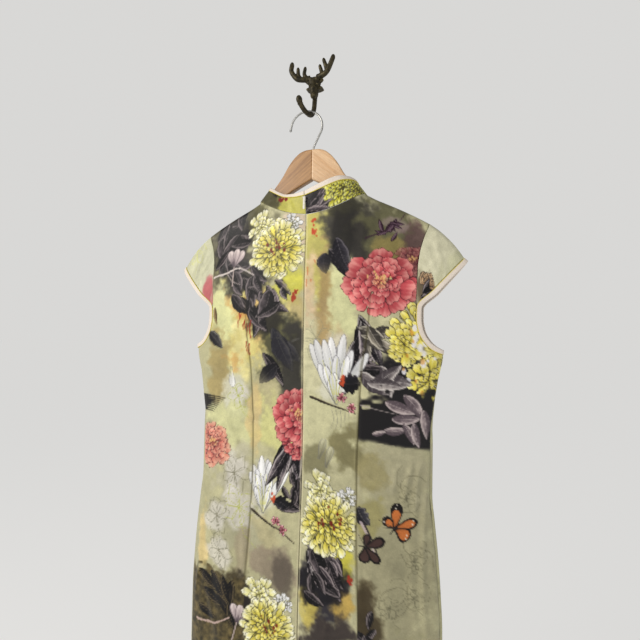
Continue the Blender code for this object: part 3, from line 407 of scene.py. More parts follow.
def grid_quads(number):
    corners = [number[:-1, :-1], number[:-1, 1:], number[1:, 1:], number[1:, :-1]]
    return np.stack(corners, axis=2).reshape(-1, 4)


def edge_strip(fine, coarse, kept):
    """Triangles that join an edge's fine points to the coarse points behind them."""
    faces = []
    for a, b, low, high in zip(coarse[:-1], coarse[1:], kept[:-1], kept[1:]):
        middle = (low + high) // 2
        faces += [(fine[j], fine[j + 1], a) for j in range(low, middle)]
        faces.append((fine[middle], b, a))
        faces += [(fine[j], fine[j + 1], b) for j in range(middle, high)]
    return faces


def new_piece(name, points, faces):
    """A piece from points in garment millimetres, with its faces outwards."""
    mesh = bpy.data.meshes.new(name)
    mesh.from_pydata(((points + PLACE) * MM).tolist(), [], [list(map(int, f)) for f in faces])
    bm = bmesh.new()
    bm.from_mesh(mesh)
    if bm.calc_volume(signed=True) < 0:
        bmesh.ops.reverse_faces(bm, faces=bm.faces[:])
        bm.to_mesh(mesh)
    bm.free()
    mesh.shade_smooth()
    piece = bpy.data.objects.new(name, mesh)
    bpy.context.scene.collection.objects.link(piece)
    return piece


def cloth_shell(name, outer, normal, flat, kept_rows, kept_cols):
    """A thin closed sheet: a fine outer face, a coarser inner face, and the edges between them."""
    rows, cols = outer.shape[:2]
    number = np.arange(rows * cols).reshape(rows, cols)
    chosen = np.ix_(kept_rows, kept_cols)
    back = rows * cols + np.arange(len(kept_rows) * len(kept_cols)).reshape(len(kept_rows), -1)
    inner = outer[chosen] - normal[chosen] * SATIN_THICK
    faces = grid_quads(number).tolist() + grid_quads(back)[:, ::-1].tolist()
    turned_rows, turned_cols = rows - 1 - kept_rows[::-1], cols - 1 - kept_cols[::-1]
    faces += edge_strip(number[0, ::-1], back[0, ::-1], turned_cols)
    faces += edge_strip(number[::-1, -1], back[::-1, -1], turned_rows)
    faces += edge_strip(number[-1], back[-1], kept_cols)
    faces += edge_strip(number[:, 0], back[:, 0], kept_rows)
    points = np.concatenate([outer.reshape(-1, 3), inner.reshape(-1, 3)])
    piece = new_piece(name, points, faces)
    places = np.concatenate([flat.reshape(-1, 2), flat[chosen].reshape(-1, 2)])
    is_outer = np.arange(len(points)) < rows * cols
    return piece, places, is_outer


def lofted(name, rings, closed):
    """A closed piece through rings of points, joined end to end or capped."""
    count, around = rings.shape[:2]
    number = np.arange(count * around).reshape(count, around)
    number = np.concatenate([number, number[:, :1]], axis=1)
    if closed:
        number = np.concatenate([number, number[:1]], axis=0)
    faces = grid_quads(number).tolist()
    if not closed:
        faces += [number[0, :-1][::-1].tolist(), number[-1, :-1].tolist()]
    return new_piece(name, rings.reshape(-1, 3), faces)


RIM_ARC = np.radians(np.linspace(90, 270, 7))
EDGE_ROUND = 0.45  # radius of the binding's turned edge against the cloth


def binding_section(width):
    """The folded strip's section: how far in from the rim, and how far from its middle, for each point."""
    half = BINDING_THICK / 2
    rim = [(half + half * math.cos(a), half * math.sin(a)) for a in RIM_ARC]
    flat_low = [(width * f, -half * 0.94) for f in (0.45, 0.8)]
    near, thin = width - EDGE_ROUND, half - EDGE_ROUND
    turn = [(near, -half), (width, -thin), (width, thin), (near, half)]
    flat_high = [(width * f, half * 0.94) for f in (0.8, 0.45)]
    return np.array(rim + flat_low + turn + flat_high)


def bound_edge(name, rim, edge, into, closed, count):
    """A folded binding along a rim. into points through the cloth from its outer face."""
    if closed:
        rim, edge, into = (np.concatenate([p[-2:], p, p[:3]]) for p in (rim, edge, into))
    run = run_of(rim)
    low, high = (run[2], run[-3]) if closed else (run[0], run[-1])
    at = np.linspace(low, high, count + 1)[:-1] if closed else np.linspace(low, high, count)
    rim, edge, into = through(run, rim, at), through(run, edge, at), unit(through(run, into, at))
    width = np.linalg.norm(edge - rim, axis=1)
    way = unit(edge - rim)
    middle = rim + into * SATIN_THICK / 2
    section = binding_section(float(width.mean()))
    share = section[:, 0] / width.mean()
    across = way[:, None] * (share[None, :, None] * width[:, None, None])
    rings = middle[:, None] + across - into[:, None] * section[None, :, 1:2]
    places = np.stack([np.repeat(run_of(rim), len(share)), np.tile(share * width.mean(), len(rim))], axis=1)
    return lofted(name, rings, closed), places


def sleeve_hem_y(full, corner_y):
    return SLEEVE_DROOP_Y + (corner_y - SLEEVE_DROOP_Y) * full


def opening_lines():
    """The armhole's bound edge in order: rim, inner edge and the rows that the sleeve's hem follows."""
    lines = {"rim": [], "edge": [], "hem": []}
    tip_x, tip_z = (at + way * BINDING_WIDE for at, way in zip(SLEEVE_TIP, SLEEVE_IN))
    tip_in = (tip_x, SLEEVE_DROOP_Y, tip_z)
    for is_back in (True, False):
        corner_y = float(body_y(CORNER[0] - 4, CORNER[1], is_back))
        rows = [(x, z, way_x, way_z, None) for x, z, way_x, way_z in UNDERARM[::-1]] + [(*CORNER, None)]
        rows += [(x, z, *SLEEVE_IN, full) for x, z, full in SLEEVE_HEM]
        for number, (x, z, way_x, way_z, full) in enumerate(rows if is_back else rows[::-1]):
            in_x, in_z = x + way_x * BINDING_WIDE, z + way_z * BINDING_WIDE
            if number == (0 if is_back else len(rows) - 1):
                rim_y = edge_y = SEAM_Y + (-OPENING_END if is_back else OPENING_END)
            elif full is None:
                rim_y, edge_y = body_y(x, z, is_back), body_y(in_x, in_z, is_back)
            else:
                rim_y, edge_y = sleeve_hem_y(full, corner_y), sleeve_hem_y(min(1.0, full + 0.06), corner_y)
            lines["rim"].append((x, float(rim_y), z))
            lines["edge"].append((in_x, float(edge_y), in_z))
            if full is not None:
                lines["hem"].append((in_x, float(edge_y), in_z))
        if is_back:
            lines["rim"].append((SLEEVE_TIP[0], SLEEVE_DROOP_Y, SLEEVE_TIP[1]))
            lines["edge"].append(tip_in)
            lines["hem"].append(tip_in)
    corner = len(UNDERARM)
    hem = [lines["edge"][corner], *lines["hem"], lines["edge"][-corner - 1]]
    return np.array(lines["rim"]), np.array(lines["edge"]), np.array(hem)


SLEEVE_STEPS = np.array([0.0, 0.28, 0.55, 0.8, 1.0])
SLEEVE_LIFT = np.array([0.0, 0.8, 1.0, 0.6, 0.0]) * 4.0
SLEEVE_FOOT_LIFT = 8.0  # the seam's two ends lie this much above the armhole's
SLEEVE_END_SHIFT = np.array([1.5, 0.0, 1.5])
COLLAR_MIDDLE = np.array([0.0, HANGER_Y - 4, 20.0])


def sleeve_control(hem_line):
    """The sleeve's rows from its armhole seam out to its hem."""
    seam = []
    for is_back in (True, False):
        y = body_y(ARMHOLE[:, 0], ARMHOLE[:, 1], is_back)
        line = np.stack([ARMHOLE[:, 0], y, ARMHOLE[:, 1]], axis=1)
        line[0, 1] = hanger_y(SHOULDER_HALF)
        seam.append(line[::-1][:-1] if is_back else line)
    seam = np.concatenate(seam) + np.array([SEAM + 0.1, 0.0, 0.0])
    seam[[0, -1], 2] += SLEEVE_FOOT_LIFT
    run = run_of(seam)
    hem_run = run_of(hem_line)
    inwards = np.array([SLEEVE_IN[0], 0, SLEEVE_IN[1]])
    hem = through(hem_run, hem_line, run / run[-1] * hem_run[-1]) + inwards * SEAM * 1.5
    hem[[0, -1]] += SLEEVE_END_SHIFT
    rows = np.array([seam + (hem - seam) * s for s in SLEEVE_STEPS])
    crest = np.exp(-((np.linspace(-1, 1, len(seam)) / 0.5) ** 2))
    normal = outward(rows, rows - SLEEVE_MIDDLE)
    return rows + normal * (SLEEVE_LIFT[:, None] * crest)[..., None]


def refine(control, counts):
    """A smooth grid through a coarse one."""
    down = run_of(control[:, control.shape[1] // 2])
    rows = through(down, control, np.linspace(0, down[-1], counts[0]))
    return np.array([spaced(row, counts[1]) for row in rows])


def collar_frame(side):
    """Base and rim of half of the collar, from the centre back round to the centre front."""
    back_x, front_x = STATIONS, STATIONS[-2::-1]
    base = [(x, float(body_y(x, top_z(x, True), True)), float(top_z(x, True))) for x in back_x]
    base += [(x, float(body_y(x, top_z(x, False), False)), float(top_z(x, False))) for x in front_x]
    base = np.array(base)
    base[len(back_x) - 1, 1] = hanger_y(NECK_HALF)
    base[-1, 0] = 1.0
    base[:, 2] += SEAM + 0.3
    base = sided(base, side)
    rim_back = COLLAR_TOP_BACK_RIGHT if side > 0 else COLLAR_TOP_BACK_LEFT
    rim_front = sided(COLLAR_TOP_FRONT[::-1], side)
    return base, np.concatenate([rim_back, rim_front])


def zip_puckers(side):
    """Short ripples that run out from the zip, where it holds the cloth."""
    return [(side * 3, z, side * reach, z + rise, 3.2, depth) for z, reach, rise, depth in PUCKERS]


def satin_piece(name, grid, way, flat, keep, creases):
    normal = outward(grid, way)
    grid = crease(grid, normal, creases, flat)
    return cloth_shell(name, grid, outward(grid, way), flat, *keep)


def build_body():
    """The back's two halves, parted by the zip, and the front in one, each as a shell."""
    made = {}
    way_back, way_front = np.array([0, -1.0, 0]), np.array([0, 1.0, 0])
    keep_back = (kept_steps(BACK_COUNT[2], 5, 20), kept_steps(sum(BACK_COUNT[:2]) - 1, 3))
    for side, name in ((1, "back_right"), (-1, "back_left")):
        grid = panel_grid(True, side)
        flat = flat_places(grid, 0, side)
        grid = sided(grid, side)
        creases = BACK_CREASES[side] + zip_puckers(side)
        made[name] = satin_piece(f"{name}_satin", grid, way_back, flat, keep_back, creases)
    halves = []
    for side in (1, -1):
        grid = panel_grid(False, side)
        grid[:, 0, 0] = 0.0
        flat = flat_places(grid, 0, side)
        halves.append((sided(grid, side), flat))
    grid = np.concatenate([halves[1][0][:, :0:-1], halves[0][0]], axis=1)
    flat = np.concatenate([halves[1][1][:, :0:-1], halves[0][1]], axis=1)
    keep_front = (kept_steps(FRONT_COUNT[2], 4, 20), kept_steps(grid.shape[1], 3))
    made["front"] = satin_piece("front_satin", grid, way_front, flat, keep_front, FRONT_CREASES)
    return made


def build_sleeve(side, name):
    """A cap sleeve and the binding round the whole armhole, made on the right and mirrored for the left."""
    rim, edge, hem = opening_lines()
    grid = refine(sleeve_control(hem), SLEEVE_COUNT)
    way = grid - SLEEVE_MIDDLE
    run_down = np.stack([run_of(grid[:, c]) for c in range(grid.shape[1])], axis=1)
    middle = grid.shape[1] // 2
    run_round = run_of(grid[grid.shape[0] // 2])
    flat = np.stack([run_down, np.broadcast_to(run_round - run_round[middle], run_down.shape)], axis=2)
    grid, way = sided(grid, side), sided(way, side)
    keep = (kept_steps(SLEEVE_COUNT[0], 3), kept_steps(SLEEVE_COUNT[1], 2))
    cloth = satin_piece(f"sleeve_{name}_satin", grid, way, flat, keep, SLEEVE_CREASES)
    through_cloth = unit((edge - rim) * [1.0, 0.0, 1.0])
    gap = np.full((len(edge), 1), SEAM)
    gap[[0, -1]] = UNDERARM_GAP
    end = edge - through_cloth * gap
    along = np.roll(edge, -1, axis=0) - np.roll(edge, 1, axis=0)
    into = unit(np.cross(through_cloth, along))
    half_turn = len(into) // 2
    into = into if into[: half_turn - 3, 1].sum() > 0 else -into
    lines = [sided(line, side) for line in (rim, end, into)]
    binding = bound_edge(f"armhole_binding_{name}_folded", *lines, True, ARMHOLE_STEPS)
    return cloth, binding


def build_collar(side, name):
    """Half of the stand collar and the binding over its rim."""
    base, rim = collar_frame(side)
    rise = rim - base
    rows = np.array([base + rise * s for s in np.linspace(0, 1, 4)])
    grid = refine(rows, (24, COLLAR_COUNT[1]))
    normal = outward(grid, grid - COLLAR_MIDDLE)
    share = np.linspace(0, COLLAR_SHARE, COLLAR_COUNT[0])
    cloth_grid = np.array([grid[0] + (grid[-1] - grid[0]) * s for s in share])
    run_round = run_of(cloth_grid[len(share) // 2])
    height = np.linalg.norm(grid[-1] - grid[0], axis=1)
    across = np.broadcast_to(run_round * side, cloth_grid.shape[:2])
    flat = np.stack([across, share[:, None] * height[None, :]], axis=2)
    keep = (kept_steps(COLLAR_COUNT[0], 3), kept_steps(COLLAR_COUNT[1], 3))
    creases = [(side * x, z, side * x_end, *rest) for x, z, x_end, *rest in COLLAR_CREASES]
    way = cloth_grid - COLLAR_MIDDLE
    cloth = satin_piece(f"collar_{name}_satin", cloth_grid, way, flat, keep, creases)
    edge = grid[0] + (grid[-1] - grid[0]) * (COLLAR_SHARE + SEAM / height)[:, None]
    way = unit(grid[-1] - grid[0])
    into = -normal[-3]
    into = unit(into - (into * way).sum(1, keepdims=True) * way)
    binding = bound_edge(f"collar_binding_{name}_folded", grid[-1], edge, into, False, COLLAR_COUNT[1])
    return cloth, binding


# Hanger and wall hook. The wall hook's own numbers start at its centre, on the wall.
WOOD_TOP = np.array([  # x, z
    (0, 116.0), (10, 115.6), (20, 113.0), (30, 106.0), (38, 97.5), (45, 87.5), (52, 75.5), (60, 64.5),
    (66, 57.0), (75, 45.0), (84, 35.0), (93, 28.0),
])
WOOD_LOW = np.array([
    (0, 65.0), (18, 56.0), (35, 47.0), (60, 31.0), (93, 8.0), (125, -8.0), (160, -26.0), (186, -39.0),
    (190, -38.0), (192, -33.0),
])
WOOD_END = np.array([(186, -18.0), (190, -22.0), (192, -27.0)])
WOOD_TAPER = np.array([(186, 1.0), (190, 0.9), (192, 0.66)])  # x, share of the thickness
WOOD_THICK = 12.0
WOOD_REACH = 192.0
WOOD_CLEAR = 4.0
WOOD_STEPS = 96
WOOD_JOINT = 0.5  # half width and depth of the glued joint between the two arms
WOOD_SPLIT_Z = 60  # the uncut block's middle
WOOD_ROUND = 2.4
WIRE_RADIUS = 1.7
WIRE_ROOT = 101.0
WIRE_TURN = (12.0, 26.2, 27.3, 12.2)  # radius, degrees out, straight run and degrees back, below the bow
WIRE_TURN_Z = 117.0
WIRE_BOW = (-13.0, 156.0)  # x, z of the bow's centre
WIRE_ARC = 28.0
WIRE_SWEEP = 190.0
WIRE_END = (-1.0, -4.0)  # the straight end's way from the bow to the tip
WIRE_TIP = 2.3
PLATE_HALF = (15.0, 24.0)
PLATE_THICK = 4.0
HOOK_BALLS = [  # centre, radii and the tilt about x and y in degrees
    ((0, -9, 9), (11.5, 8.2, 12.0), 0, 0), ((0.8, -13, -7), (7.4, 9.5, 14.0), 12, 0),
    ((2.0, -19, -17), (5.6, 5.2, 6.2), 0, 0), ((-5.2, -13, 14), (4.2, 3.6, 5.4), 0, 0),
    ((5.4, -13, 14), (4.2, 3.6, 5.4), 0, 0), ((0.6, -15.5, 4), (3.6, 3.6, 10.0), 0, 0),
    ((12.0, -10, 11), (5.6, 2.6, 3.0), 0, -30), ((-11.6, -10, 11.5), (5.6, 2.6, 3.0), 0, 30),
    ((-6.4, -17, 3.6), (2.1, 2.0, 1.8), 0, 0), ((7.4, -17, 3.6), (2.1, 2.0, 1.8), 0, 0),
    ((-0.9, -23.2, -18.6), (1.3, 1.7, 1.4), 0, 0), ((4.9, -23.2, -18.6), (1.3, 1.7, 1.4), 0, 0),
]
KNOB_BALLS = [
    ((-9.6, -56.4, -40.4), (5.2, 5.2, 7.6), 0, -12), ((-8.2, -54.6, -46.6), (5.0, 5.0, 2.0), 0, -12),
]
J_ROUTE = [
    (1.5, -9.0, -14.0), (1.8, -12.0, -26.0), (2.2, -15.0, -37.0), (2.2, -20.0, -47.6), (1.4, -27.0, -54.8),
    (0.0, -35.0, -57.2), (-2.8, -44.0, -55.8), (-5.6, -50.4, -51.6), (-7.8, -54.2, -47.0),
    (-8.8, -56.0, -43.0),
]
J_RADIUS = 4.2
ANTLERS = {  # radius at the root and at the tip, then the route, on the left and on the right
    -1: [
        (4.6, 3.6, [
            (-7, -10, 19), (-17, -12, 17), (-28, -14, 18), (-37, -15, 26), (-41.5, -16, 36), (-40, -16, 45),
        ]),
        (3.6, 2.6, [(-25, -13, 19), (-29, -14, 27), (-29, -15, 36)]),
        (3.4, 2.5, [(-14, -12, 19), (-18, -13, 27), (-16, -14, 36)]),
    ],
    1: [
        (4.6, 3.6, [
            (5, -10, 19), (14, -12, 20), (23, -14, 24), (29, -15, 33), (33, -16, 41), (35.4, -16, 47),
        ]),
        (3.6, 2.6, [(24, -14, 27), (21, -15, 37), (18, -15, 45.5)]),
        (3.4, 2.5, [(15, -12, 22), (13, -13, 29), (11, -14, 36)]),
    ],
}
ANTLER_MORE = 0.5  # what the softening takes off the antlers
CASTING_VOXEL = 0.7


def edit_mode():
    bpy.ops.object.mode_set(mode="EDIT")


def object_mode():
    bpy.ops.object.mode_set(mode="OBJECT")


def start(kind, **settings):
    """Adds a primitive with nothing else selected, at its size and place, and opens it for editing."""
    bpy.ops.object.select_all(action="DESELECT")
    getattr(bpy.ops.mesh, f"primitive_{kind}_add")(**settings)
    bpy.ops.object.transform_apply(location=True, rotation=True, scale=True)
    piece = bpy.context.object
    edit_mode()
    return piece


def settle(piece, name, smooth_angle=40):
    """Closes the edit, puts the object's place into its mesh and names it."""
    object_mode()
    bpy.ops.object.transform_apply(location=True, rotation=True, scale=True)
    piece.name = piece.data.name = name
    bpy.ops.object.shade_smooth_by_angle(angle=math.radians(smooth_angle))
    return piece


def modify(piece, kind, **settings):
    step = piece.modifiers.new(kind.lower(), kind)
    for key, value in settings.items():
        setattr(step, key, value)
    bpy.ops.object.modifier_apply(modifier=step.name)


def joined(pieces, name):
    bpy.ops.object.select_all(action="DESELECT")
    for piece in pieces:
        piece.select_set(True)
    bpy.context.view_layer.objects.active = pieces[0]
    bpy.ops.object.join()
    pieces[0].name = pieces[0].data.name = name
    return pieces[0]


def pick(piece, kind, is_wanted):
    """Selects the faces or edges of an open piece that pass a test, and no others."""
    bm = bmesh.from_edit_mesh(piece.data)
    for item in getattr(bm, kind):
        item.select = is_wanted(item)
    bmesh.update_edit_mesh(piece.data)


def extrude(x, z):
    """Draws the selected end out, in millimetres."""
    bpy.ops.mesh.extrude_region_move(TRANSFORM_OT_translate={"value": (x * MM, 0, z * MM)})


def garment(x, y, z):
    """A place in garment millimetres, as metres in the frame."""
    return Vector(np.array([x, y, z]) + PLACE) * MM


def wood_top(x):
    x = abs(x)
    if x <= NECK_HALF:
        return float(at_x(WOOD_TOP, x))
    if x <= WOOD_END[0, 0]:
        return float(at_x(SHOULDER, x)) - WOOD_CLEAR
    return float(at_x(WOOD_END, x))


def build_wood():
    """A block cut into stations, shaped to the hanger's outline, with rounded edges and a joint line."""
    middle = garment(0, HANGER_Y, WOOD_SPLIT_Z)
    wood = start("cube", size=1, location=middle, scale=(WOOD_REACH * 2 * MM, WOOD_THICK * MM, 0.05))
    pick(wood, "edges", lambda edge: abs(edge.verts[0].co.x - edge.verts[1].co.x) > WOOD_REACH * MM)
    bpy.ops.mesh.subdivide(number_cuts=WOOD_STEPS)
    wood = settle(wood, "hanger_wood_carved", 35)
    even = np.linspace(-WOOD_REACH, WOOD_REACH, WOOD_STEPS - 2)
    stations = np.sort(np.concatenate([even, np.array([-2, -0.6, 0.6, 2]) * WOOD_JOINT]))
    for vert in wood.data.vertices:
        place = vert.co.x / MM - PLACE[0]
        x = float(stations[round((place / WOOD_REACH / 2 + 0.5) * (WOOD_STEPS + 1))])
        is_top, is_front = vert.co.z > middle.z, vert.co.y < middle.y
        z = wood_top(x) if is_top else float(at_x(WOOD_LOW, abs(x)))
        thick = float(at_x(WOOD_TAPER, abs(x))) * WOOD_THICK / 2
        thick -= WOOD_JOINT * (abs(x) < WOOD_JOINT)
        vert.co = garment(x, float(hanger_y(x)) + (-thick if is_front else thick), z)
    sharp = math.radians(50)
    modify(wood, "BEVEL", width=WOOD_ROUND * MM, segments=4, limit_method="ANGLE", angle_limit=sharp)
    return wood


def build_wire():
    """A bent wire: a disc drawn up out of the wood and swept round its bends, with a rounded tip."""
    radius, out, run, back = WIRE_TURN
    foot = garment(0, HANGER_Y, WIRE_ROOT)
    wire = start("circle", vertices=14, radius=WIRE_RADIUS * MM, fill_type="NGON", location=foot)
    extrude(0, WIRE_TURN_Z - WIRE_ROOT)
    bend(garment(radius, HANGER_Y, WIRE_TURN_Z), out, 6)
    way = math.radians(out)
    extrude(math.sin(way) * run, math.cos(way) * run)
    turn_x = radius * (1 - math.cos(way)) + run * math.sin(way)
    turn_z = WIRE_TURN_Z + radius * math.sin(way) + run * math.cos(way)
    bend(garment(turn_x - radius * math.cos(way), HANGER_Y, turn_z + radius * math.sin(way)), -back, 4)
    bow_x, bow_z = WIRE_BOW
    end_x, end_z = WIRE_END
    bend(garment(bow_x, HANGER_Y, bow_z), -WIRE_SWEEP, 56)
    extrude(end_x, end_z)
    wire = settle(wire, "wire_bent", 50)
    end = math.radians(WIRE_SWEEP - WIRE_TURN[1] + WIRE_TURN[3])
    tip_x, tip_z = bow_x + WIRE_ARC * math.cos(end) + end_x, bow_z + WIRE_ARC * math.sin(end) + end_z
    tip = garment(tip_x, HANGER_Y, tip_z)
    ball = start("uv_sphere", segments=14, ring_count=10, radius=WIRE_TIP * MM, location=tip)
    return joined([wire, settle(ball, "wire_tip", 50)], "hanger_wire_bent")


def bend(centre, degrees, steps):
    """Sweeps the selected end round a centre, to the right where degrees is positive."""
    bpy.ops.mesh.spin(steps=steps, angle=-math.radians(degrees), center=centre, axis=(0, 1, 0))


def casting_ball(centre, radii, tilt_x, tilt_y):
    turn = (math.radians(tilt_x), math.radians(tilt_y), 0)
    size = Vector(radii) * MM
    ball = start(
        "uv_sphere", segments=28, ring_count=18, location=Vector(centre) * MM, scale=size, rotation=turn,
    )
    return settle(ball, "casting_part")


def casting_rod(route, root, tip):
    """A tapering round rod along a route, made as a bevelled line and turned into a mesh."""
    line = spaced(np.array(route, float), 5 * len(route))
    curve = bpy.data.curves.new("rod", "CURVE")
    curve.dimensions = "3D"
    curve.bevel_depth = MM
    curve.bevel_resolution = 4
    curve.use_fill_caps = True
    spline = curve.splines.new("POLY")
    spline.points.add(len(line) - 1)
    for number, point in enumerate(line):
        spline.points[number].co = (*(point * MM), 1)
        spline.points[number].radius = root + (tip - root) * number / (len(line) - 1)
    rod = bpy.data.objects.new("casting_part", curve)
    bpy.context.scene.collection.objects.link(rod)
    bpy.ops.object.select_all(action="DESELECT")
    rod.select_set(True)
    bpy.context.view_layer.objects.active = rod
    bpy.ops.object.convert(target="MESH")
    return bpy.context.object


def build_wall_hook():
    """A plain stag's head with antlers over a J hook, cast in one: its parts are merged and softened."""
    turn = (math.radians(90), 0, 0)
    plate = start(
        "cylinder", vertices=64, radius=1, depth=1, rotation=turn, location=(0, -PLATE_THICK / 2 * MM, 0),
    )
    object_mode()
    plate.scale = (PLATE_HALF[0] * MM, PLATE_HALF[1] * MM, PLATE_THICK * MM)
    plate = settle(plate, "casting_part")
    modify(plate, "BEVEL", width=1.2 * MM, segments=3, limit_method="ANGLE")
    parts = [plate] + [casting_ball(*row) for row in HOOK_BALLS + KNOB_BALLS]
    parts.append(casting_rod(J_ROUTE, J_RADIUS, J_RADIUS))
    for side in (-1, 1):
        for root, tip, route in ANTLERS[side]:
            parts.append(casting_rod(route, root + ANTLER_MORE, tip + ANTLER_MORE))
            parts.append(casting_ball(route[-1], (tip, tip, tip * 1.3), 0, 0))
    hook = joined(parts, "wall_hook_casting")
    modify(hook, "REMESH", mode="VOXEL", voxel_size=CASTING_VOXEL * MM)
    modify(hook, "SMOOTH", factor=0.5, iterations=7)
    for vert in hook.data.vertices:
        vert.co.y = min(vert.co.y, 0.0)
    hook.data.shade_smooth()
    return hook


TAPE_HALF = 8.0
TAPE_THICK = 0.6
TAPE_ENDS = (-20.0, -490.0)
SLIDER_AT = (-2.5, -65.5, 25.0)
SLIDER_SIZE = (4.6, 2.2, 8.0)
PULL_SIZE = (3.2, 1.0, 20.0)
PIN_AT = (-2.5, -68.3, 27.0)
PULL_FACE = 30 * MM * MM  # the broad faces are larger than this
PULL_STEPS = (-3.6, 1.2, 2.4)  # down to the shoulder, up to the neck and up to the top
PULL_PANEL = (0.6, 0.15)  # the pressed panel's margin and depth
NARROW = 0.72  # the slider's foot and the pull's neck, as a share of their widths
EAR_SIZE = (0.8, 3.2, 2.6)
EAR_OUT = 2.1  # from the slider's middle towards the room
COIL_PITCH = 1.3  # millimetres between the zip's teeth
COIL_OFF = 0.75
COIL_HALF = (1.15, 0.55)  # across the tape and through it
COIL_CLEAR = 0.9  # from the tape's inner face to the coil's middle
COIL_RADIUS = 0.3
SOLID_CLOTH = 1.5  # the solids' cloth, behind which the tape lies


def build_tape():
    """The zip's woven tape, behind the centre back's two turned edges."""
    z = np.linspace(*TAPE_ENDS, TAPE_COUNT[0])
    x = np.linspace(-TAPE_HALF, TAPE_HALF, TAPE_COUNT[1])
    grid_x, grid_z = np.meshgrid(x, z)
    y = body_y(np.zeros(len(z)), z, True) + SOLID_CLOTH + SEAM
    grid = np.stack([grid_x, np.broadcast_to(y[:, None], grid_x.shape), grid_z], axis=2)
    flat = np.stack([grid_x, grid_z], axis=2)
    normal = np.broadcast_to(np.array([0.0, -1.0, 0.0]), grid.shape)
    every = (np.arange(len(z)), np.arange(len(x)))
    return cloth_shell("zip_tape_woven", grid, normal, flat, *every)[0]


def build_coil():
    """The zip's two interlocked coils of teeth, on the tape's inner side."""
    top, low = TAPE_ENDS
    coils = []
    for side in (-1, 1):
        turns = (top - low - 6.0) / COIL_PITCH
        angle = np.linspace(0, 2 * math.pi * turns, int(turns * 8))
        z = np.linspace(top - 3.0, low + 3.0, len(angle))
        x = side * COIL_OFF + COIL_HALF[0] * np.cos(angle + (side > 0) * math.pi)
        y = body_y(np.zeros(len(z)), z, True) + SOLID_CLOTH + SEAM + TAPE_THICK + COIL_CLEAR
        line = np.stack([x, y + COIL_HALF[1] * np.sin(angle), z], axis=1)
        corners = np.radians([45, 135, 225, 315])
        ring = [(math.cos(a) * COIL_RADIUS, math.sin(a) * COIL_RADIUS) for a in corners]
        rings = np.array([[(p[0] + a, p[1] + b, p[2] + 0.12 * a) for a, b in ring] for p in line])
        coils.append(lofted("zip_coil", rings, False))
    return joined(coils, "zip_coil_teeth")


def build_slider():
    """The slider's body, tapered downwards, with two ears that hold the pull's pin."""
    size = Vector(SLIDER_SIZE) * MM
    body = start("cube", size=1, location=garment(*SLIDER_AT), scale=size)
    pick(body, "faces", lambda face: face.normal.z < -0.5)
    bpy.ops.transform.resize(value=(NARROW, 1, 1))
    body = settle(body, "slider_body")
    modify(body, "BEVEL", width=0.5 * MM, segments=3, limit_method="ANGLE")
    parts = [body]
    for side in (-1, 1):
        ear_x = PIN_AT[0] + side * (SLIDER_SIZE[0] - EAR_SIZE[0]) / 2
        place = garment(ear_x, SLIDER_AT[1] - EAR_OUT, PIN_AT[2])
        ear = settle(start("cube", size=1, location=place, scale=Vector(EAR_SIZE) * MM), "slider_ear")
        modify(ear, "BEVEL", width=0.3 * MM, segments=2, limit_method="ANGLE")
        parts.append(ear)
    return joined(parts, "zip_slider_moulded")


def build_pull():
    """The pull: a flat enamelled tab with a narrow top, a rounded foot and a pressed panel on each face."""
    wide, thick, long = (s * MM for s in PULL_SIZE)
    middle = garment(PIN_AT[0], PIN_AT[1], PIN_AT[2] + 0.8 - PULL_SIZE[2] / 2)
    pull = start("cube", size=1, location=middle, scale=(wide, thick, long))
    pick(pull, "faces", lambda face: face.normal.z > 0.5)
    down, neck, top = PULL_STEPS
    bpy.ops.transform.translate(value=(0, 0, down * MM))
    extrude(0, neck)
    bpy.ops.transform.resize(value=(NARROW, 1, 1))
    extrude(0, top)
    pick(pull, "faces", lambda face: abs(face.normal.y) > 0.9 and face.calc_area() > PULL_FACE)
    bpy.ops.mesh.inset(thickness=PULL_PANEL[0] * MM, depth=-PULL_PANEL[1] * MM, use_individual=True)
    pull = settle(pull, "zip_pull_tab")
    modify(pull, "BEVEL", width=0.22 * MM, segments=3, limit_method="ANGLE", angle_limit=math.radians(35))
    return pull


def hex_rgb(text):
    return np.array([int(text[i : i + 2], 16) / 255 for i in (0, 2, 4)])


def linear(rgb):
    rgb = np.asarray(rgb, float)
    return np.where(rgb <= 0.04045, rgb / 12.92, ((rgb + 0.055) / 1.055) ** 2.4)


def lattice(i, j, seed):
    """A fixed random number from 0 to 1 for each whole place."""
    n = (i.astype(np.int64) * 374761393 + j.astype(np.int64) * 668265263 + seed * 974711) & 0xFFFFFFFF
    n = ((n ^ (n >> 13)) * 1274126177) & 0xFFFFFFFF
    return ((n ^ (n >> 16)) & 0xFFFF) / 65535.0


def mottle(x, z, size, seed):
    """Smooth random patches of about a size in millimetres, from 0 to 1."""
    x, z = x / size, z / size
    i, j = np.floor(x), np.floor(z)
    a, b = ease(x - i), ease(z - j)
    top = lattice(i, j, seed) * (1 - a) + lattice(i + 1, j, seed) * a
    low = lattice(i, j + 1, seed) * (1 - a) + lattice(i + 1, j + 1, seed) * a
    return top * (1 - b) + low * b


def cloud(x, z, size, seed, layers=4):
    total, weight = 0.0, 0.0
    for layer in range(layers):
        share = 0.55**layer
        total = total + share * mottle(x, z, size / 2**layer, seed + 17 * layer)
        weight += share
    return total / weight


class Print:
    """The colours printed on a piece, at each point's flat place in millimetres."""

    def __init__(self, places, ground):
        self.x, self.z = places[:, 0].copy(), places[:, 1].copy()
        self.rgb = np.tile(hex_rgb(ground), (len(places), 1))
        self.allowed = np.ones(len(places))

    def near(self, x, z, reach):
        return np.nonzero((np.abs(self.x - x) < reach) & (np.abs(self.z - z) < reach))[0]

    def lay(self, where, colour, cover):
        cover = (np.clip(cover, 0, 1) * self.allowed[where])[:, None]
        self.rgb[where] += (colour - self.rgb[where]) * cover


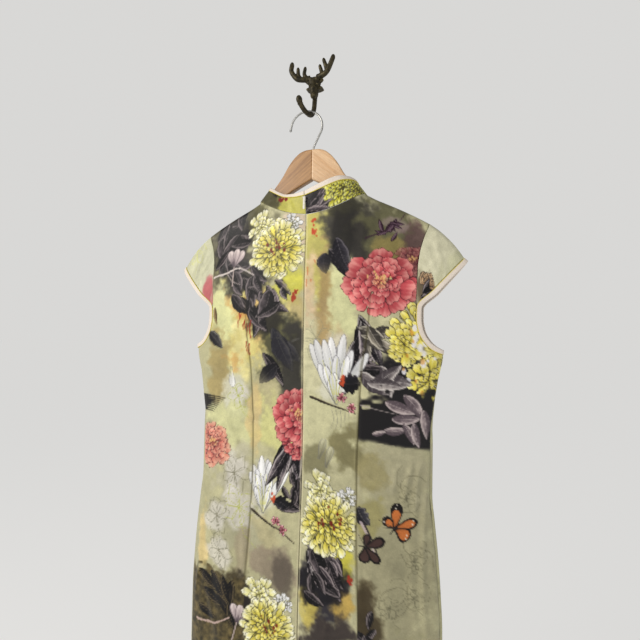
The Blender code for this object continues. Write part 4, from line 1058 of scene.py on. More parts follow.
def wash(cloth, x, z, half_x, half_z, colour, cover=0.9, rough=0.9, seed=0):
    """A soft cloud of dye with ragged edges, as ink that ran on wet silk."""
    where = cloth.near(x, z, 1.9 * max(half_x, half_z))
    dx, dz = (cloth.x[where] - x) / half_x, (cloth.z[where] - z) / half_z
    drift = cloud(cloth.x[where], cloth.z[where], 26, seed + int(abs(x) * 7 + abs(z))) - 0.5
    fine = cloud(cloth.x[where], cloth.z[where], 7, seed + 5, 3) - 0.5
    inside = 1.15 - np.sqrt(dx**2 + dz**2) + rough * (drift * 1.5 + fine * 0.4)
    shade = hex_rgb(colour) * (1 + 0.22 * drift + 0.16 * fine)[:, None]
    cloth.lay(where, shade, ease(inside / 0.55) * cover)


def out_from(x, z, angle, reach):
    """The place at a distance from x, z, at an angle from the cloth's x axis."""
    return x + math.cos(angle) * reach, z + math.sin(angle) * reach


def on_motif(cloth, x, z, angle, length, width, beside):
    """The points near a motif, with each one's place along it in lengths and across it in half widths."""
    where = cloth.near(*out_from(x, z, angle, length / 2), 0.62 * length + beside * width)
    dx, dz = cloth.x[where] - x, cloth.z[where] - z
    u = (dx * math.cos(angle) + dz * math.sin(angle)) / length
    v = (-dx * math.sin(angle) + dz * math.cos(angle)) / (width / 2)
    return where, u, v


EDGE_SOFT = 0.9  # millimetres over which a printed edge fades


def soft_edge(u, v, wide, length, width):
    """How far inside a motif's outline each point lies, in millimetres, and how much it is covered."""
    gap = np.minimum((wide - np.abs(v)) * width / 2, np.minimum((1 - u) * length, u * length + 0.6))
    return gap, np.clip(gap / EDGE_SOFT + 0.55, 0, 1)


def petal(
    cloth, x, z, angle, length, width, shades, line, peak=0.68, waist=0.35, bend=0.0, frill=0.0, cover=1.0,
    phase=0.0, ink=0.75,
):
    """One petal from its foot outwards: foot, middle and tip shades, and a fine drawn edge."""
    where, u, v = on_motif(cloth, x, z, angle, length, width, 0.6)
    if not len(where):
        return
    v = v - bend * u * u
    u = u / (1 + frill * (np.sin(v * 4.2 + phase) + 0.6 * np.sin(v * 9.1 + 2.3 * phase)))
    rise = waist + (1 - waist) * ease(u / peak)
    fall = np.sqrt(np.clip(1 - (np.clip(u - peak, 0, None) / (1 - peak)) ** 2, 0, 1))
    wide = np.where(u < peak, rise, fall)
    gap, filled = soft_edge(u, v, wide, length, width)
    cover = filled * cover
    seen = cover > 0
    where, u, v, gap, cover = where[seen], u[seen], v[seen], gap[seen], cover[seen]
    foot, middle, tip = shades
    t = np.clip(u + 0.12 * np.sin(v * 6 + phase) + 0.06 * np.sin(v * 17), 0, 1)[:, None]
    low, high = ease(t / 0.5), ease((t - 0.5) / 0.5)
    colour = np.where(t < 0.5, foot + (middle - foot) * low, middle + (tip - middle) * high)
    colour = colour * (1 + 0.10 * v * math.cos(phase))[:, None]
    edge = np.clip(1.5 - gap / EDGE_SOFT, 0, 1)[:, None] * ink
    cloth.lay(where, colour + (line - colour) * edge, cover)


def flower(
    cloth, x, z, size, rings, shades, line, seed, squash=1.0, turn=0.0, scatter=0.22, frill=0.0, cover=1.0,
    fan=(0.0, 1.0), ink=0.75,
):
    """Rings of petals, laid from the outermost in. rings has count, foot's distance, length and width."""
    draw = np.random.default_rng(seed)
    for depth, (count, start, length, width) in enumerate(rings):
        for k in draw.permutation(count):
            part = fan[0] + (fan[1] - fan[0]) * (k + 0.5 * (depth % 2)) / count
            angle = turn + 2 * math.pi * part + draw.normal(0, scatter * 0.5)
            reach = size * start * (1 + draw.normal(0, 0.08))
            foot_x, foot_z = x + math.cos(angle) * reach, z + math.sin(angle) * reach * squash
            shift = draw.normal(0, 0.05)
            tone = [np.clip(s * (1 + shift), 0, 1) for s in shades]
            long = size * length * (1 + draw.normal(0, 0.10)) * (1 - (1 - squash) * abs(math.sin(angle)))
            lean = angle + draw.normal(0, scatter)
            petal(
                cloth, foot_x, foot_z, lean, long, size * width, tone, line,
                bend=draw.normal(0, 0.25), frill=frill, cover=cover, phase=draw.uniform(0, 6), ink=ink,
            )


def leaf(cloth, x, z, angle, length, width, shades, seed=0, cover=1.0, lobes=0.10, fade=0.0):
    """A pointed leaf from its stalk: dark, half and rim shades, with a rib and side veins."""
    where, u, v = on_motif(cloth, x, z, angle, length, width, 0.4)
    turn, inside = 0.35 * math.sin(seed * 1.7), np.clip(u, 0, 1)
    v = v - turn * inside * (1 - inside) * 4
    wide = np.sin(np.pi * np.clip(u, 0, 1) ** 0.8) ** 0.8
    wide = wide * (1 - lobes + lobes * np.abs(np.sin(u * 11 + seed + 2 * np.sign(v))))
    gap, filled = soft_edge(u, v, wide, length, width)
    cover = filled * cover
    seen = (cover > 0) & (u > -0.02) & (u < 1.02)
    where, u, v, gap, cover = where[seen], u[seen], v[seen], gap[seen], cover[seen]
    dark, half, rim = shades
    side = 1 if seed % 2 else -1
    grain = cloud(cloth.x[where], cloth.z[where], 9, 31 + seed, 3) - 0.5
    light = ease(0.30 + 0.62 * v * side + 0.30 * (u - 0.5) + 0.9 * grain)[:, None]
    colour = dark + (half - dark) * light
    vein = np.exp(-((np.abs(np.sin((u * 6.5 - np.abs(v) * 0.9) * math.pi)) / 0.16) ** 2)) * 0.22
    rib = np.clip(1.2 - np.abs(v) * width / 2 / 0.7, 0, 1) * 0.45 * (u < 0.93)
    bright = np.exp(-(((gap - 1.8) / 1.2) ** 2)) * np.where(v * side > -0.1, 0.6, 0.0)
    mark = np.clip(np.maximum(np.maximum(vein, rib), bright), 0, 1)[:, None]
    colour = colour + (rim - colour) * mark
    outline = np.clip(1.1 - gap / 0.8, 0, 1)[:, None] * 0.85
    cloth.lay(where, colour + (dark * 0.7 - colour) * outline, cover * (1 - fade * ease((u - 0.3) / 0.7)))


def leaves(
    cloth, x, z, angle, spread, count, length, shades, seed, width=0.42, cover=1.0, strew=0.25, fade=0.0,
):
    """A bunch of leaves that fan out of one place."""
    draw = np.random.default_rng(seed)
    for k in draw.permutation(count):
        way = angle + spread * ((k + 0.5) / count - 0.5) + draw.normal(0, 0.12)
        long = length * draw.uniform(0.72, 1.15)
        from_x = x + draw.normal(0, strew * length * 0.4)
        from_z = z + draw.normal(0, strew * length * 0.4)
        wide = long * width * draw.uniform(0.8, 1.2)
        leaf(cloth, from_x, from_z, way, long, wide, shades, seed + k, cover, fade=fade)


def brush(cloth, points, start_wide, end_wide, colour, cover=1.0, rough=0.0):
    """A brush line along points, tapering from one width to another."""
    points = np.array(points, float)
    fine = spaced(points, max(2, int(run_of(points)[-1] / 4)))
    middle = fine.mean(axis=0)
    where = cloth.near(middle[0], middle[1], np.abs(fine - middle).max() + start_wide + 3)
    best = np.full(len(where), 1e9)
    half = np.ones(len(where))
    total = len(fine) - 1
    for k in range(total):
        a, b = fine[k], fine[k + 1]
        way = b - a
        dx, dz = cloth.x[where] - a[0], cloth.z[where] - a[1]
        t = np.clip((dx * way[0] + dz * way[1]) / (way @ way), 0, 1)
        far = np.hypot(dx - t * way[0], dz - t * way[1])
        closer = far < best
        best = np.where(closer, far, best)
        half = np.where(closer, (start_wide + (end_wide - start_wide) * (k + t) / total) / 2, half)
    if rough:
        half = half * (1 - rough + 2 * rough * mottle(cloth.x[where], cloth.z[where], 4, 7))
    cloth.lay(where, hex_rgb(colour), np.clip((half - best) / 0.8 + 0.5, 0, 1) * cover)


def spots(cloth, x, z, half_x, half_z, count, size, colour, seed, cover=0.9):
    draw = np.random.default_rng(seed)
    for _ in range(count):
        at_x, at_z = x + draw.normal(0, half_x / 2), z + draw.normal(0, half_z / 2)
        radius = size * draw.uniform(0.5, 1.3)
        where = cloth.near(at_x, at_z, radius * 1.6 + 1)
        far = np.hypot(cloth.x[where] - at_x, (cloth.z[where] - at_z) * 0.7)
        cloth.lay(where, hex_rgb(colour), np.clip((radius - far) / 0.8 + 0.5, 0, 1) * cover)


def shades_of(*colours):
    return [hex_rgb(c) for c in colours]


LEMON = shades_of("7E7428", "DCCE56", "EFE698")
FRINGE = shades_of("B2AA58", "E8E190", "F6F3DC")
PALE_LEMON = shades_of("ACA656", "E4DF9C", "F4F2DE")
CORAL = shades_of("661825", "B64A50", "E0908A")
SALMON = shades_of("9A4844", "D27C6C", "E8B098")
HEART = shades_of("B5443F", "E08A6A", "F2CDA4")
WHITE = shades_of("CFCC8A", "DCDDDC", "F2F2F4")
CHARCOAL = shades_of("0C0A0D", "645A5E", "A89C9A")
PLUM = shades_of("161217", "70646A", "D0C2BE")
STRIPED = shades_of("0E0B10", "8E8288", "F0E8E0")
MAUVE = shades_of("5A4E54", "B6A6A6", "DED0CC")
STONE = shades_of("3A3632", "A9A090", "E8E1CF")
BLACK = shades_of("0F0E12", "26242C", "6E6668")
PINK = shades_of("A02F3E", "D98890", "F2D8D6")
YELLOW = shades_of("8E8A26", "DBD647", "EDEFA0")
INK_OLIVE = hex_rgb("3E3C26")
INK_DARK = hex_rgb("2A2426")
INK_RED = hex_rgb("3C0F1A")
INK_GREY = hex_rgb("77767A")

MUM_RINGS = [  # count, foot's distance, length, width, as shares of the flower's size
    (16, 0.58, 0.42, 0.27), (18, 0.48, 0.42, 0.24), (19, 0.38, 0.40, 0.205), (18, 0.29, 0.36, 0.185),
    (15, 0.20, 0.33, 0.17), (12, 0.11, 0.27, 0.15), (7, 0.02, 0.20, 0.14),
]
PALE_RINGS = [(9, 0.30, 0.55, 0.42), (8, 0.15, 0.45, 0.34), (7, 0.05, 0.34, 0.26), (5, 0.0, 0.22, 0.18)]
PEONY_RINGS = [
    (8, 0.46, 0.54, 0.64), (8, 0.34, 0.50, 0.56), (7, 0.20, 0.44, 0.46), (6, 0.12, 0.34, 0.36),
    (5, 0.04, 0.26, 0.27), (4, 0.0, 0.18, 0.18),
]
BUD_RINGS = [(6, 0.2, 0.7, 0.55), (5, 0.0, 0.5, 0.4)]
SPIKE_RINGS = [(8, 0.10, 0.86, 0.145), (7, 0.06, 0.66, 0.135), (5, 0.0, 0.45, 0.12)]


def places_by(x, z, size):
    """A function that gives the place right of and above x, z by two shares of a motif's size."""
    return lambda right, up: (x + right * size, z + up * size)


def mum(cloth, x, z, size, seed, head=(-0.62, 0.8), second=(0.42, 0.72)):
    """A lemon chrysanthemum: pale half-open heads behind, a white-tipped fringe and a curled middle."""
    at = places_by(x, z, size)
    wash(cloth, x, z, 0.66 * size, 0.62 * size, "C9BE62", 0.95, rough=0.2, seed=seed)
    flower(cloth, *at(*head), 0.70 * size, PALE_RINGS, PALE_LEMON, INK_OLIVE, seed + 1, frill=0.05)
    flower(cloth, *at(*second), 0.40 * size, PALE_RINGS[:3], WHITE, INK_OLIVE, seed + 2, frill=0.05)
    flower(cloth, x, z, size, MUM_RINGS[:2], FRINGE, INK_OLIVE, seed + 3, ink=0.85)
    flower(cloth, x, z, size, MUM_RINGS[2:], LEMON, INK_OLIVE, seed + 4, ink=0.95, scatter=0.5)
    spots(cloth, *at(0.02, 0.06), 0.42 * size, 0.34 * size, 15, 1.9, "6E1C12", seed + 5, cover=0.85)


def peony(cloth, x, z, size, seed, shades=CORAL, squash=0.84, cover=1.0):
    """A full peony: wide notched petals with dark drawn edges round a paler heart."""
    at = places_by(x, z, size)
    full = dict(squash=squash, cover=cover, ink=0.92)
    pale = dict(squash=squash, cover=0.8 * cover)
    outer, inner = PEONY_RINGS[:3], PEONY_RINGS[3:]
    flower(cloth, x, z, size, outer, shades, INK_RED, seed, frill=0.06, scatter=0.16, **full)
    flower(cloth, *at(0.05, 0.06), size, inner, shades, INK_RED, seed + 1, frill=0.09, scatter=0.35, **full)
    heart = (*at(-0.02, 0.05), 0.45 * size)
    flower(cloth, *heart, inner, HEART, INK_RED, seed + 2, frill=0.09, scatter=0.4, **pale)
    dust = (*at(-0.04, 0.16), 0.34 * size, 0.16 * size)
    spots(cloth, *dust, 20, 1.2, "E9C27A", seed + 3, cover=0.8 * cover)


def spike_flower(cloth, x, z, size, turn, seed, cover=0.92):
    """A white bloom of long thin petals that fan up from its foot."""
    middle_x = x + 0.5 * size * math.cos(turn)
    wash(cloth, middle_x, z + 0.5 * size, 0.3 * size, 0.5 * size, "D9D8CC", 0.6, seed=seed)
    flower(
        cloth, x, z, size, SPIKE_RINGS, WHITE, INK_GREY, seed, turn=turn, fan=(-0.07, 0.08), scatter=0.10,
        cover=cover, ink=0.9,
    )
    for step in range(4):
        lean = turn + 0.17 * (step - 1.5)
        way = np.array([math.cos(lean), math.sin(lean)]) * size
        start_at = np.array([x, z]) + way * 0.15
        brush(cloth, [start_at, start_at + way * 0.3, start_at + way * 0.55], 2.0, 0.8, "D5D254", 0.5)


def thicket(cloth, x, z, half_x, half_z, count, length, lean, shades, seed, width=0.42, spread=0.55):
    """A dense mass of leaves that point roughly one way."""
    draw = np.random.default_rng(seed)
    for k in range(count):
        turn, far = draw.uniform(0, 2 * math.pi), math.sqrt(draw.uniform(0, 1))
        at_x, at_z = x + half_x * far * math.cos(turn), z + half_z * far * math.sin(turn)
        way, long = lean + draw.normal(0, spread), length * draw.uniform(0.6, 1.2)
        at_x, at_z = out_from(at_x, at_z, way, -long / 2)
        leaf(cloth, at_x, at_z, way, long, long * width * draw.uniform(0.8, 1.2), shades, seed + k)


def line_flower(cloth, x, z, size, seed, colour="8F8C78", cover=0.5):
    """A flower drawn in outline alone."""
    draw = np.random.default_rng(seed)
    for k in range(7):
        angle = 2 * math.pi * k / 7 + draw.normal(0, 0.2)
        long, wide = size * draw.uniform(0.8, 1.1), size * 0.3
        side = np.array([-math.sin(angle), math.cos(angle)])
        way = np.array([math.cos(angle), math.sin(angle)])
        foot = np.array([x, z])
        left, right = foot + way * long * 0.55 + side * wide, foot + way * long * 0.6 - side * wide
        outline = [foot, left, foot + way * long, right, foot]
        brush(cloth, outline, 0.9, 0.7, colour, cover)
    at = places_by(x, z, size)
    brush(cloth, [(x, z), at(0.3, -1.0), at(0.9, -1.5)], 0.9, 0.6, colour, cover)


def twig(cloth, points, buds, seed):
    """A dark woody twig with buds of pink and red."""
    brush(cloth, points, 4.2, 1.4, "2A231C", 0.95, rough=0.35)
    offset = [(x + 1.5, z + 1.4) for x, z in points]
    brush(cloth, offset, 1.2, 0.5, "8A7C60", 0.6)
    for number, (x, z) in enumerate(buds):
        flower(cloth, x, z, 9, BUD_RINGS, PINK, INK_RED, seed + number)


def butterfly(cloth, x, z, size, turn, wing, border, seed, spotted):
    """Two pairs of wings with a dark border, a body and feelers."""
    rim = hex_rgb(border)
    wings = [  # angle, length, width
        (1.05, 1.0, 0.5), (-0.15, 0.95, 0.44), (2.05, 0.62, 0.4), (-1.05, 0.72, 0.62),
    ]
    tones = [np.clip(hex_rgb(wing) * tone, 0, 1) for tone in (0.8, 1.0, 1.05)]
    for angle, long, wide in wings[::-1]:
        way = turn + angle
        petal(cloth, x, z, way, size * long, size * wide, [rim, rim, rim], rim, ink=1.0, phase=1.5)
        foot = out_from(x, z, way, size * 0.06)
        inner = size * long * (0.66 if angle > 0 and spotted else 0.84)
        petal(cloth, *foot, way, inner, size * wide * 0.78, tones, rim, ink=0.9, phase=1.5)
        if spotted:
            far = out_from(x, z, way, size * long * 0.84)
            spots(cloth, *far, size * 0.12, size * 0.12, 3, 0.9, "E9E2D2", seed)
    back, head = (out_from(x, z, turn + 0.45, size * reach) for reach in (-0.3, 0.12))
    brush(cloth, [back, (x, z), head], 1.6, 3.0, "1B1716")
    for lean in (2.3, 2.75):
        brush(cloth, [(x, z), out_from(x, z, turn + lean, size * 0.7)], 0.9, 0.7, "3A332E", 0.8)


# Where the dye clouds lie, in millimetres from the centre back and the neck point, seen from behind
BACK_LEFT_CLOUDS = [  # x, z, half width, half height, colour, cover
    (-110, -450, 140, 560, "B9B58F", 1.0),
    (-150, -30, 75, 75, "4A4638", 0.95), (-185, -75, 30, 55, "6B6750", 0.8),
    (-100, 10, 40, 30, "5D5A40", 0.8), (-12, -28, 26, 42, "D6C4AE", 0.9),
    (-28, -112, 36, 36, "CBC75C", 0.95), (-12, -160, 16, 40, "B9A873", 0.8),
    (-105, -185, 66, 80, "D9CC80", 0.95), (-82, -165, 22, 60, "D9B273", 0.7),
    (-160, -160, 36, 60, "DADBA2", 0.9), (-160, -250, 28, 62, "A59462", 0.85),
    (-118, -235, 20, 50, "E0D79A", 0.8), (-126, -290, 26, 55, "D9D9C6", 0.8),
    (-40, -205, 42, 66, "4D4C36", 0.97), (-16, -240, 26, 62, "35332F", 0.95),
    (-62, -175, 22, 30, "7F7C4C", 0.7), (-70, -290, 26, 30, "B6AE86", 0.8),
    (-130, -345, 56, 44, "CFCF9C", 0.85), (-45, -345, 44, 52, "D2D08E", 0.9),
    (-88, -335, 14, 60, "D8BC82", 0.6), (-178, -385, 26, 26, "E5C4AC", 0.8),
    (-120, -440, 52, 52, "B8B49A", 0.85), (-120, -510, 70, 52, "ACA98B", 0.9),
    (-192, -560, 14, 66, "DCC78E", 0.9), (-60, -520, 28, 36, "BDB48C", 0.8),
    (-45, -575, 36, 42, "8F8270", 0.85), (-26, -575, 20, 36, "5A5148", 0.8),
    (-100, -555, 16, 40, "9C8F78", 0.6), (-140, -655, 74, 68, "453D2A", 0.98),
    (-100, -640, 40, 50, "211C1C", 0.9), (-175, -640, 24, 44, "6E6238", 0.75),
    (-110, -770, 90, 46, "C5BF92", 0.9), (-40, -740, 40, 50, "4A4636", 0.85),
    (-150, -860, 60, 60, "A9A683", 0.9), (-40, -850, 46, 70, "D3CC82", 0.85),
    (-30, -920, 40, 50, "4D4636", 0.8),
]
BACK_RIGHT_CLOUDS = [
    (110, -450, 150, 560, "BCB893", 1.0),
    (18, -45, 34, 84, "C3BB68", 0.95), (72, -30, 44, 58, "45423C", 0.95),
    (125, -55, 72, 64, "5C5A42", 0.95), (70, 10, 36, 26, "3E3C30", 0.9), (140, -62, 26, 24, "8C7F4C", 0.8),
    (176, -70, 28, 60, "5C4646", 0.85), (86, -60, 22, 46, "33302F", 0.85),
    (34, -135, 20, 84, "AC9263", 0.85), (66, -140, 26, 70, "D2D2A0", 0.95),
    (9, -130, 12, 66, "DABF9C", 0.8), (15, -235, 18, 88, "CDC9A4", 0.9), (60, -205, 20, 30, "C3AE84", 0.8),
    (44, -335, 52, 50, "C6C39B", 0.95), (76, -375, 30, 36, "77714E", 0.85),
    (25, -395, 26, 24, "6E6A4C", 0.7), (32, -575, 44, 62, "2E2B32", 0.97),
    (70, -545, 20, 22, "CCC44C", 0.95), (70, -608, 20, 26, "BD9E50", 0.9),
    (50, -665, 50, 54, "3A3230", 0.95), (20, -620, 16, 36, "D3C05C", 0.8),
    (40, -760, 46, 46, "B8B180", 0.9), (50, -850, 46, 60, "CFC87E", 0.85),
    (30, -915, 46, 40, "544C3A", 0.85),
]
BACK_RIGHT_OUTER_CLOUDS = [  # beyond the dart, where the print is another stretch
    (150, -440, 76, 100, "A9A486", 0.95), (112, -410, 26, 34, "978F66", 0.85),
    (150, -560, 80, 130, "A09B7C", 0.95), (112, -470, 22, 40, "98915F", 0.8),
    (150, -690, 70, 60, "96926F", 0.9), (104, -640, 16, 60, "5B513A", 0.8),
    (150, -800, 76, 70, "BDB78C", 0.9), (150, -900, 76, 60, "746C4C", 0.85),
]


def clouds(cloth, rows):
    """A piece's dye clouds in order, the full ones, its grounds, with smoother edges."""
    for number, (x, z, half_x, half_z, colour, cover) in enumerate(rows):
        rough = 0.5 if cover == 1.0 else 1.0
        wash(cloth, x, z, half_x, half_z, colour, cover, rough, seed=number * 13)


def leafy_peony(cloth, x, z, size, seed):
    """A peony over striped leaves, with a white bloom, a black bud and a twig to its left."""
    at = places_by(x, z, size)
    spike_flower(cloth, *at(-1.35, -2.75), size, math.pi / 2 - 0.05, seed + 3)
    leaves(cloth, *at(-0.45, -0.75), -1.5, 1.2, 8, 1.4 * size, STRIPED, seed + 4, width=0.24, strew=0.4)
    thicket(cloth, *at(0.35, -1.5), 0.5 * size, 0.5 * size, 8, 0.95 * size, -0.8, STONE, seed + 5)
    thicket(cloth, *at(-0.1, -2.3), 0.45 * size, 0.45 * size, 9, 0.8 * size, -0.9, CHARCOAL, seed + 6)
    leaf(cloth, *at(-0.35, -2.5), 2.7, 0.7 * size, 0.62 * size, BLACK, seed + 7, lobes=0.3)
    stem = [at(-1.95, -3.1), at(-1.3, -3.3), at(-0.6, -3.5)]
    twig(cloth, stem, [at(-0.95, -3.2), at(-0.7, -3.35)], seed + 8)
    spots(cloth, *at(-0.95, -2.5), 6, 12, 8, 1.9, "C8502E", seed + 9)
    peony(cloth, x, z, size, seed)


def leafy_mum(cloth, x, z, size, seed):
    """A chrysanthemum with a trail of dark leaves below it."""
    at = places_by(x, z, size)
    wash(cloth, *at(-0.1, -1.75), 0.8 * size, 0.75 * size, "17151A", 0.9, seed=seed)
    striped = (0.3 * size, 0.4 * size, 6, 1.1 * size, -1.1, STRIPED, seed + 11)
    thicket(cloth, *at(-0.45, -1.05), *striped, width=0.2)
    thicket(cloth, *at(-0.25, -1.7), 0.5 * size, 0.6 * size, 9, 0.9 * size, -1.3, CHARCOAL, seed + 12)
    thicket(cloth, *at(0.35, -1.5), 0.4 * size, 0.4 * size, 6, 0.8 * size, -0.9, PLUM, seed + 13)
    mum(cloth, x, z, size, seed, head=(-0.3, 1.0), second=(0.55, 0.85))
    spots(cloth, *at(0.7, -1.55), 5, 12, 8, 1.9, "A3301F", seed + 14)


def bud(cloth, x, z, size, turn, seed):
    """A closed mauve bud on a pale stem."""
    brush(cloth, [out_from(x, z, turn, -size * 1.6), (x, z)], 2.2, 1.8, "B9A8A2")
    for lean in (-0.5, 0.55, 0.0):
        petal(
            cloth, x, z, turn + lean, size * 1.5, size * 0.75, MAUVE, hex_rgb("4A3E46"), phase=seed + lean,
        )


def drips(cloth, x, z, length, count, colour, seed):
    """Short runs of dye down the cloth."""
    draw = np.random.default_rng(seed)
    for _ in range(count):
        at_x, at_z = x + draw.normal(0, 5), z - draw.uniform(0, length)
        end = (at_x + draw.normal(0, 2), at_z - draw.uniform(6, 18))
        brush(cloth, [(at_x, at_z), end], 2.2, 0.8, colour, 0.75, rough=0.4)


def scroll(cloth, x, z, size, seed, colour="9A967E"):
    """Faint curling tendrils of the ground pattern."""
    draw = np.random.default_rng(seed)
    for k in range(3):
        turn = draw.uniform(0, 6)
        foot = (x, z + k * size * 0.5)
        curl = [out_from(*foot, turn + 4.6 * t, size * (1 - 0.75 * t)) for t in np.linspace(0, 1, 9)]
        brush(cloth, curl, 1.3, 0.7, colour, 0.45)


LOW_LEAVES = [  # black leaves over the brown block, seen from behind: x, z, way, length
    (-196, -604, -0.5, 52), (-168, -600, -0.9, 56), (-140, -598, -1.2, 50), (-118, -602, -1.6, 48),
    (-186, -634, -0.3, 54), (-150, -632, -0.8, 52), (-124, -640, -1.3, 44), (-196, -664, -0.2, 46),
]


def print_back_left(cloth):
    """The left half of the back: mums and peonies over dark leaves, and a brown block at the side."""
    # Pale washes with outlined flowers on them: the outlines are the satin's woven pattern, and the pale
    # washes are painted sheen where the satin catches the light.
    pale_sheen_and_outline_flowers = [
        (-125, -430, 34, 1), (-112, -484, 40, 2), (-158, -506, 34, 3), (-120, -300, 24, 4),
        (-150, -560, 30, 5),
    ]
    for x, z, size, seed in pale_sheen_and_outline_flowers:
        # painted sheen: a pale wash under each outlined flower
        wash(cloth, x, z, size * 0.9, size * 0.9, "DAD6D2", 0.62, seed=seed)
        line_flower(cloth, x, z, size, seed, "77745E" if seed % 2 else "ACB24E", 0.75)
    for x, z in ((-136, -132), (-112, -150), (-123, -236), (-96, -168)):
        wash(cloth, x, z, 20, 15, "C98A44", 0.45, rough=1.6, seed=int(-x))
    wash(cloth, -142, -44, 44, 60, "1C191D", 0.94, rough=0.8, seed=19)
    wash(cloth, -116, -108, 44, 26, "26231F", 0.85, seed=20)
    wash(cloth, -66, -168, 30, 34, "211F1D", 0.85, seed=21)
    thicket(cloth, -146, -34, 34, 46, 16, 46, -1.9, CHARCOAL, 22)
    thicket(cloth, -118, -96, 40, 28, 11, 44, -0.8, CHARCOAL, 23)
    thicket(cloth, -90, -134, 30, 26, 9, 48, -1.1, CHARCOAL, 24)
    thicket(cloth, -48, -134, 34, 20, 8, 38, -0.8, PLUM, 25)
    thicket(cloth, -72, -172, 20, 24, 6, 52, -1.5, CHARCOAL, 26)
    brush(cloth, [(-176, -98), (-150, -92), (-122, -84), (-92, -96)], 3.6, 1.8, "DDD2CC", 0.92, rough=0.3)
    brush(cloth, [(-148, -90), (-134, -106), (-118, -112)], 2.0, 1.0, "C4B6B0", 0.8, rough=0.3)
    bud(cloth, -132, -80, 21, 1.5, 3)
    mum(cloth, -50, -56, 52, 31, head=(-0.66, 0.78), second=(0.50, 0.80))
    wash(cloth, -16, -118, 20, 24, "D3CF5A", 0.85, seed=30)
    spots(cloth, -18, -130, 5, 16, 11, 2.1, "A3301F", 32)
    drips(cloth, -113, -160, 34, 7, "96180F", 33)
    drips(cloth, -101, -172, 50, 9, "96180F", 34)
    leaf(cloth, -186, -192, -0.7, 44, 22, shades_of("1B1A1F", "4A484A", "A9A795"), 35)
    leaf(cloth, -172, -150, -1.4, 30, 9, shades_of("5A4630", "8C7448", "C9B683"), 36)
    petal(cloth, -134, -252, -1.5, 34, 14, WHITE, INK_GREY, cover=0.8)
    dusk = shades_of("23222A", "3E3C42", "57564E")
    leaves(cloth, -46, -190, -1.2, 1.0, 5, 60, dusk, 37, width=0.5, fade=0.5)
    leaf(cloth, -72, -226, -0.95, 66, 19, shades_of("121015", "2E2A30", "E0CFC6"), 38)
    leaf(cloth, -46, -246, 3.9, 44, 26, shades_of("141318", "2B2930", "4E4A4C"), 39, fade=0.5)
    for step in range(9):
        low = -304 - 3.2 * step
        line = [(-204, low), (-176, low), (-148 - 3.4 * step, low - 2)]
        brush(cloth, line, 4.2, 0.8, "151315", 0.92, rough=0.3)
    spike_flower(cloth, -66, -486, 88, math.pi / 2 + 0.02, 44)
    leaves(cloth, -12, -368, -1.75, 1.0, 8, 82, STRIPED, 45, width=0.2, strew=0.3)
    thicket(cloth, -14, -452, 16, 26, 7, 38, -1.2, CHARCOAL, 46)
    leaf(cloth, -22, -474, 2.85, 30, 25, BLACK, 47, lobes=0.3)
    spots(cloth, -50, -462, 5, 12, 8, 1.9, "C8502E", 48)
    twig(cloth, [(-87, -484), (-58, -500), (-34, -510), (-9, -526)], [(-42, -496), (-30, -508)], 49)
    peony(cloth, -8, -368, 27, 51, squash=1.0)
    peony(cloth, -3, -328, 50, 41, squash=0.9)
    peony(cloth, -176, -388, 42, 42, SALMON, squash=0.95, cover=0.85)
    cloth.allowed = (cloth.x < -at_level(DART, 1, cloth.z)).astype(float)
    low = cloth.near(-150, -668, 78)
    patch = mottle(cloth.x[low], cloth.z[low], 8, 5) - 0.5
    grain = cloud(cloth.x[low], cloth.z[low], 6, 8, 3) - 0.5
    shade = hex_rgb("50462C") * (1 + 1.3 * grain + 0.3 * patch)[:, None]
    cloth.lay(low, shade, ease((-596 - cloth.z[low] + 26 * patch) / 10) * 0.95)
    for number, (x, z, way, long) in enumerate(LOW_LEAVES):
        leaf(cloth, x, z, way, long, 0.34 * long, shades_of("0B090B", "2C2620", "8C7A50"), number)
    cloth.allowed[:] = 1.0
    bud(cloth, -108, -668, 20, 1.3, 5)
    brush(cloth, [(-200, -690), (-160, -684), (-122, -664)], 4.0, 2.0, "C9AFA6", 0.9, rough=0.4)
    leafy_mum(cloth, -52, -664, 50, 54)
    leafy_peony(cloth, -150, -790, 46, 47)
    mum(cloth, -60, -880, 50, 48)
    seams(cloth, -1)


BLOCK_FROM_Z = -290  # below it, the print is cut at the dart
BLOCK_TOP = -296
BLOCK_SPAN = (92, 200)
BLOCK_LOW = (-356, -368)  # at the dart and at the side
BLOCK_LEAVES = [  # mauve leaves apart on the black block: x, z, way, length
    (132, -296, -0.35, 50), (160, -284, -0.9, 50), (142, -322, 0.05, 46), (130, -340, 0.12, 38),
    (190, -306, -1.45, 46), (160, -328, -1.1, 36), (176, -326, -1.35, 40), (112, -346, 0.25, 24),
]


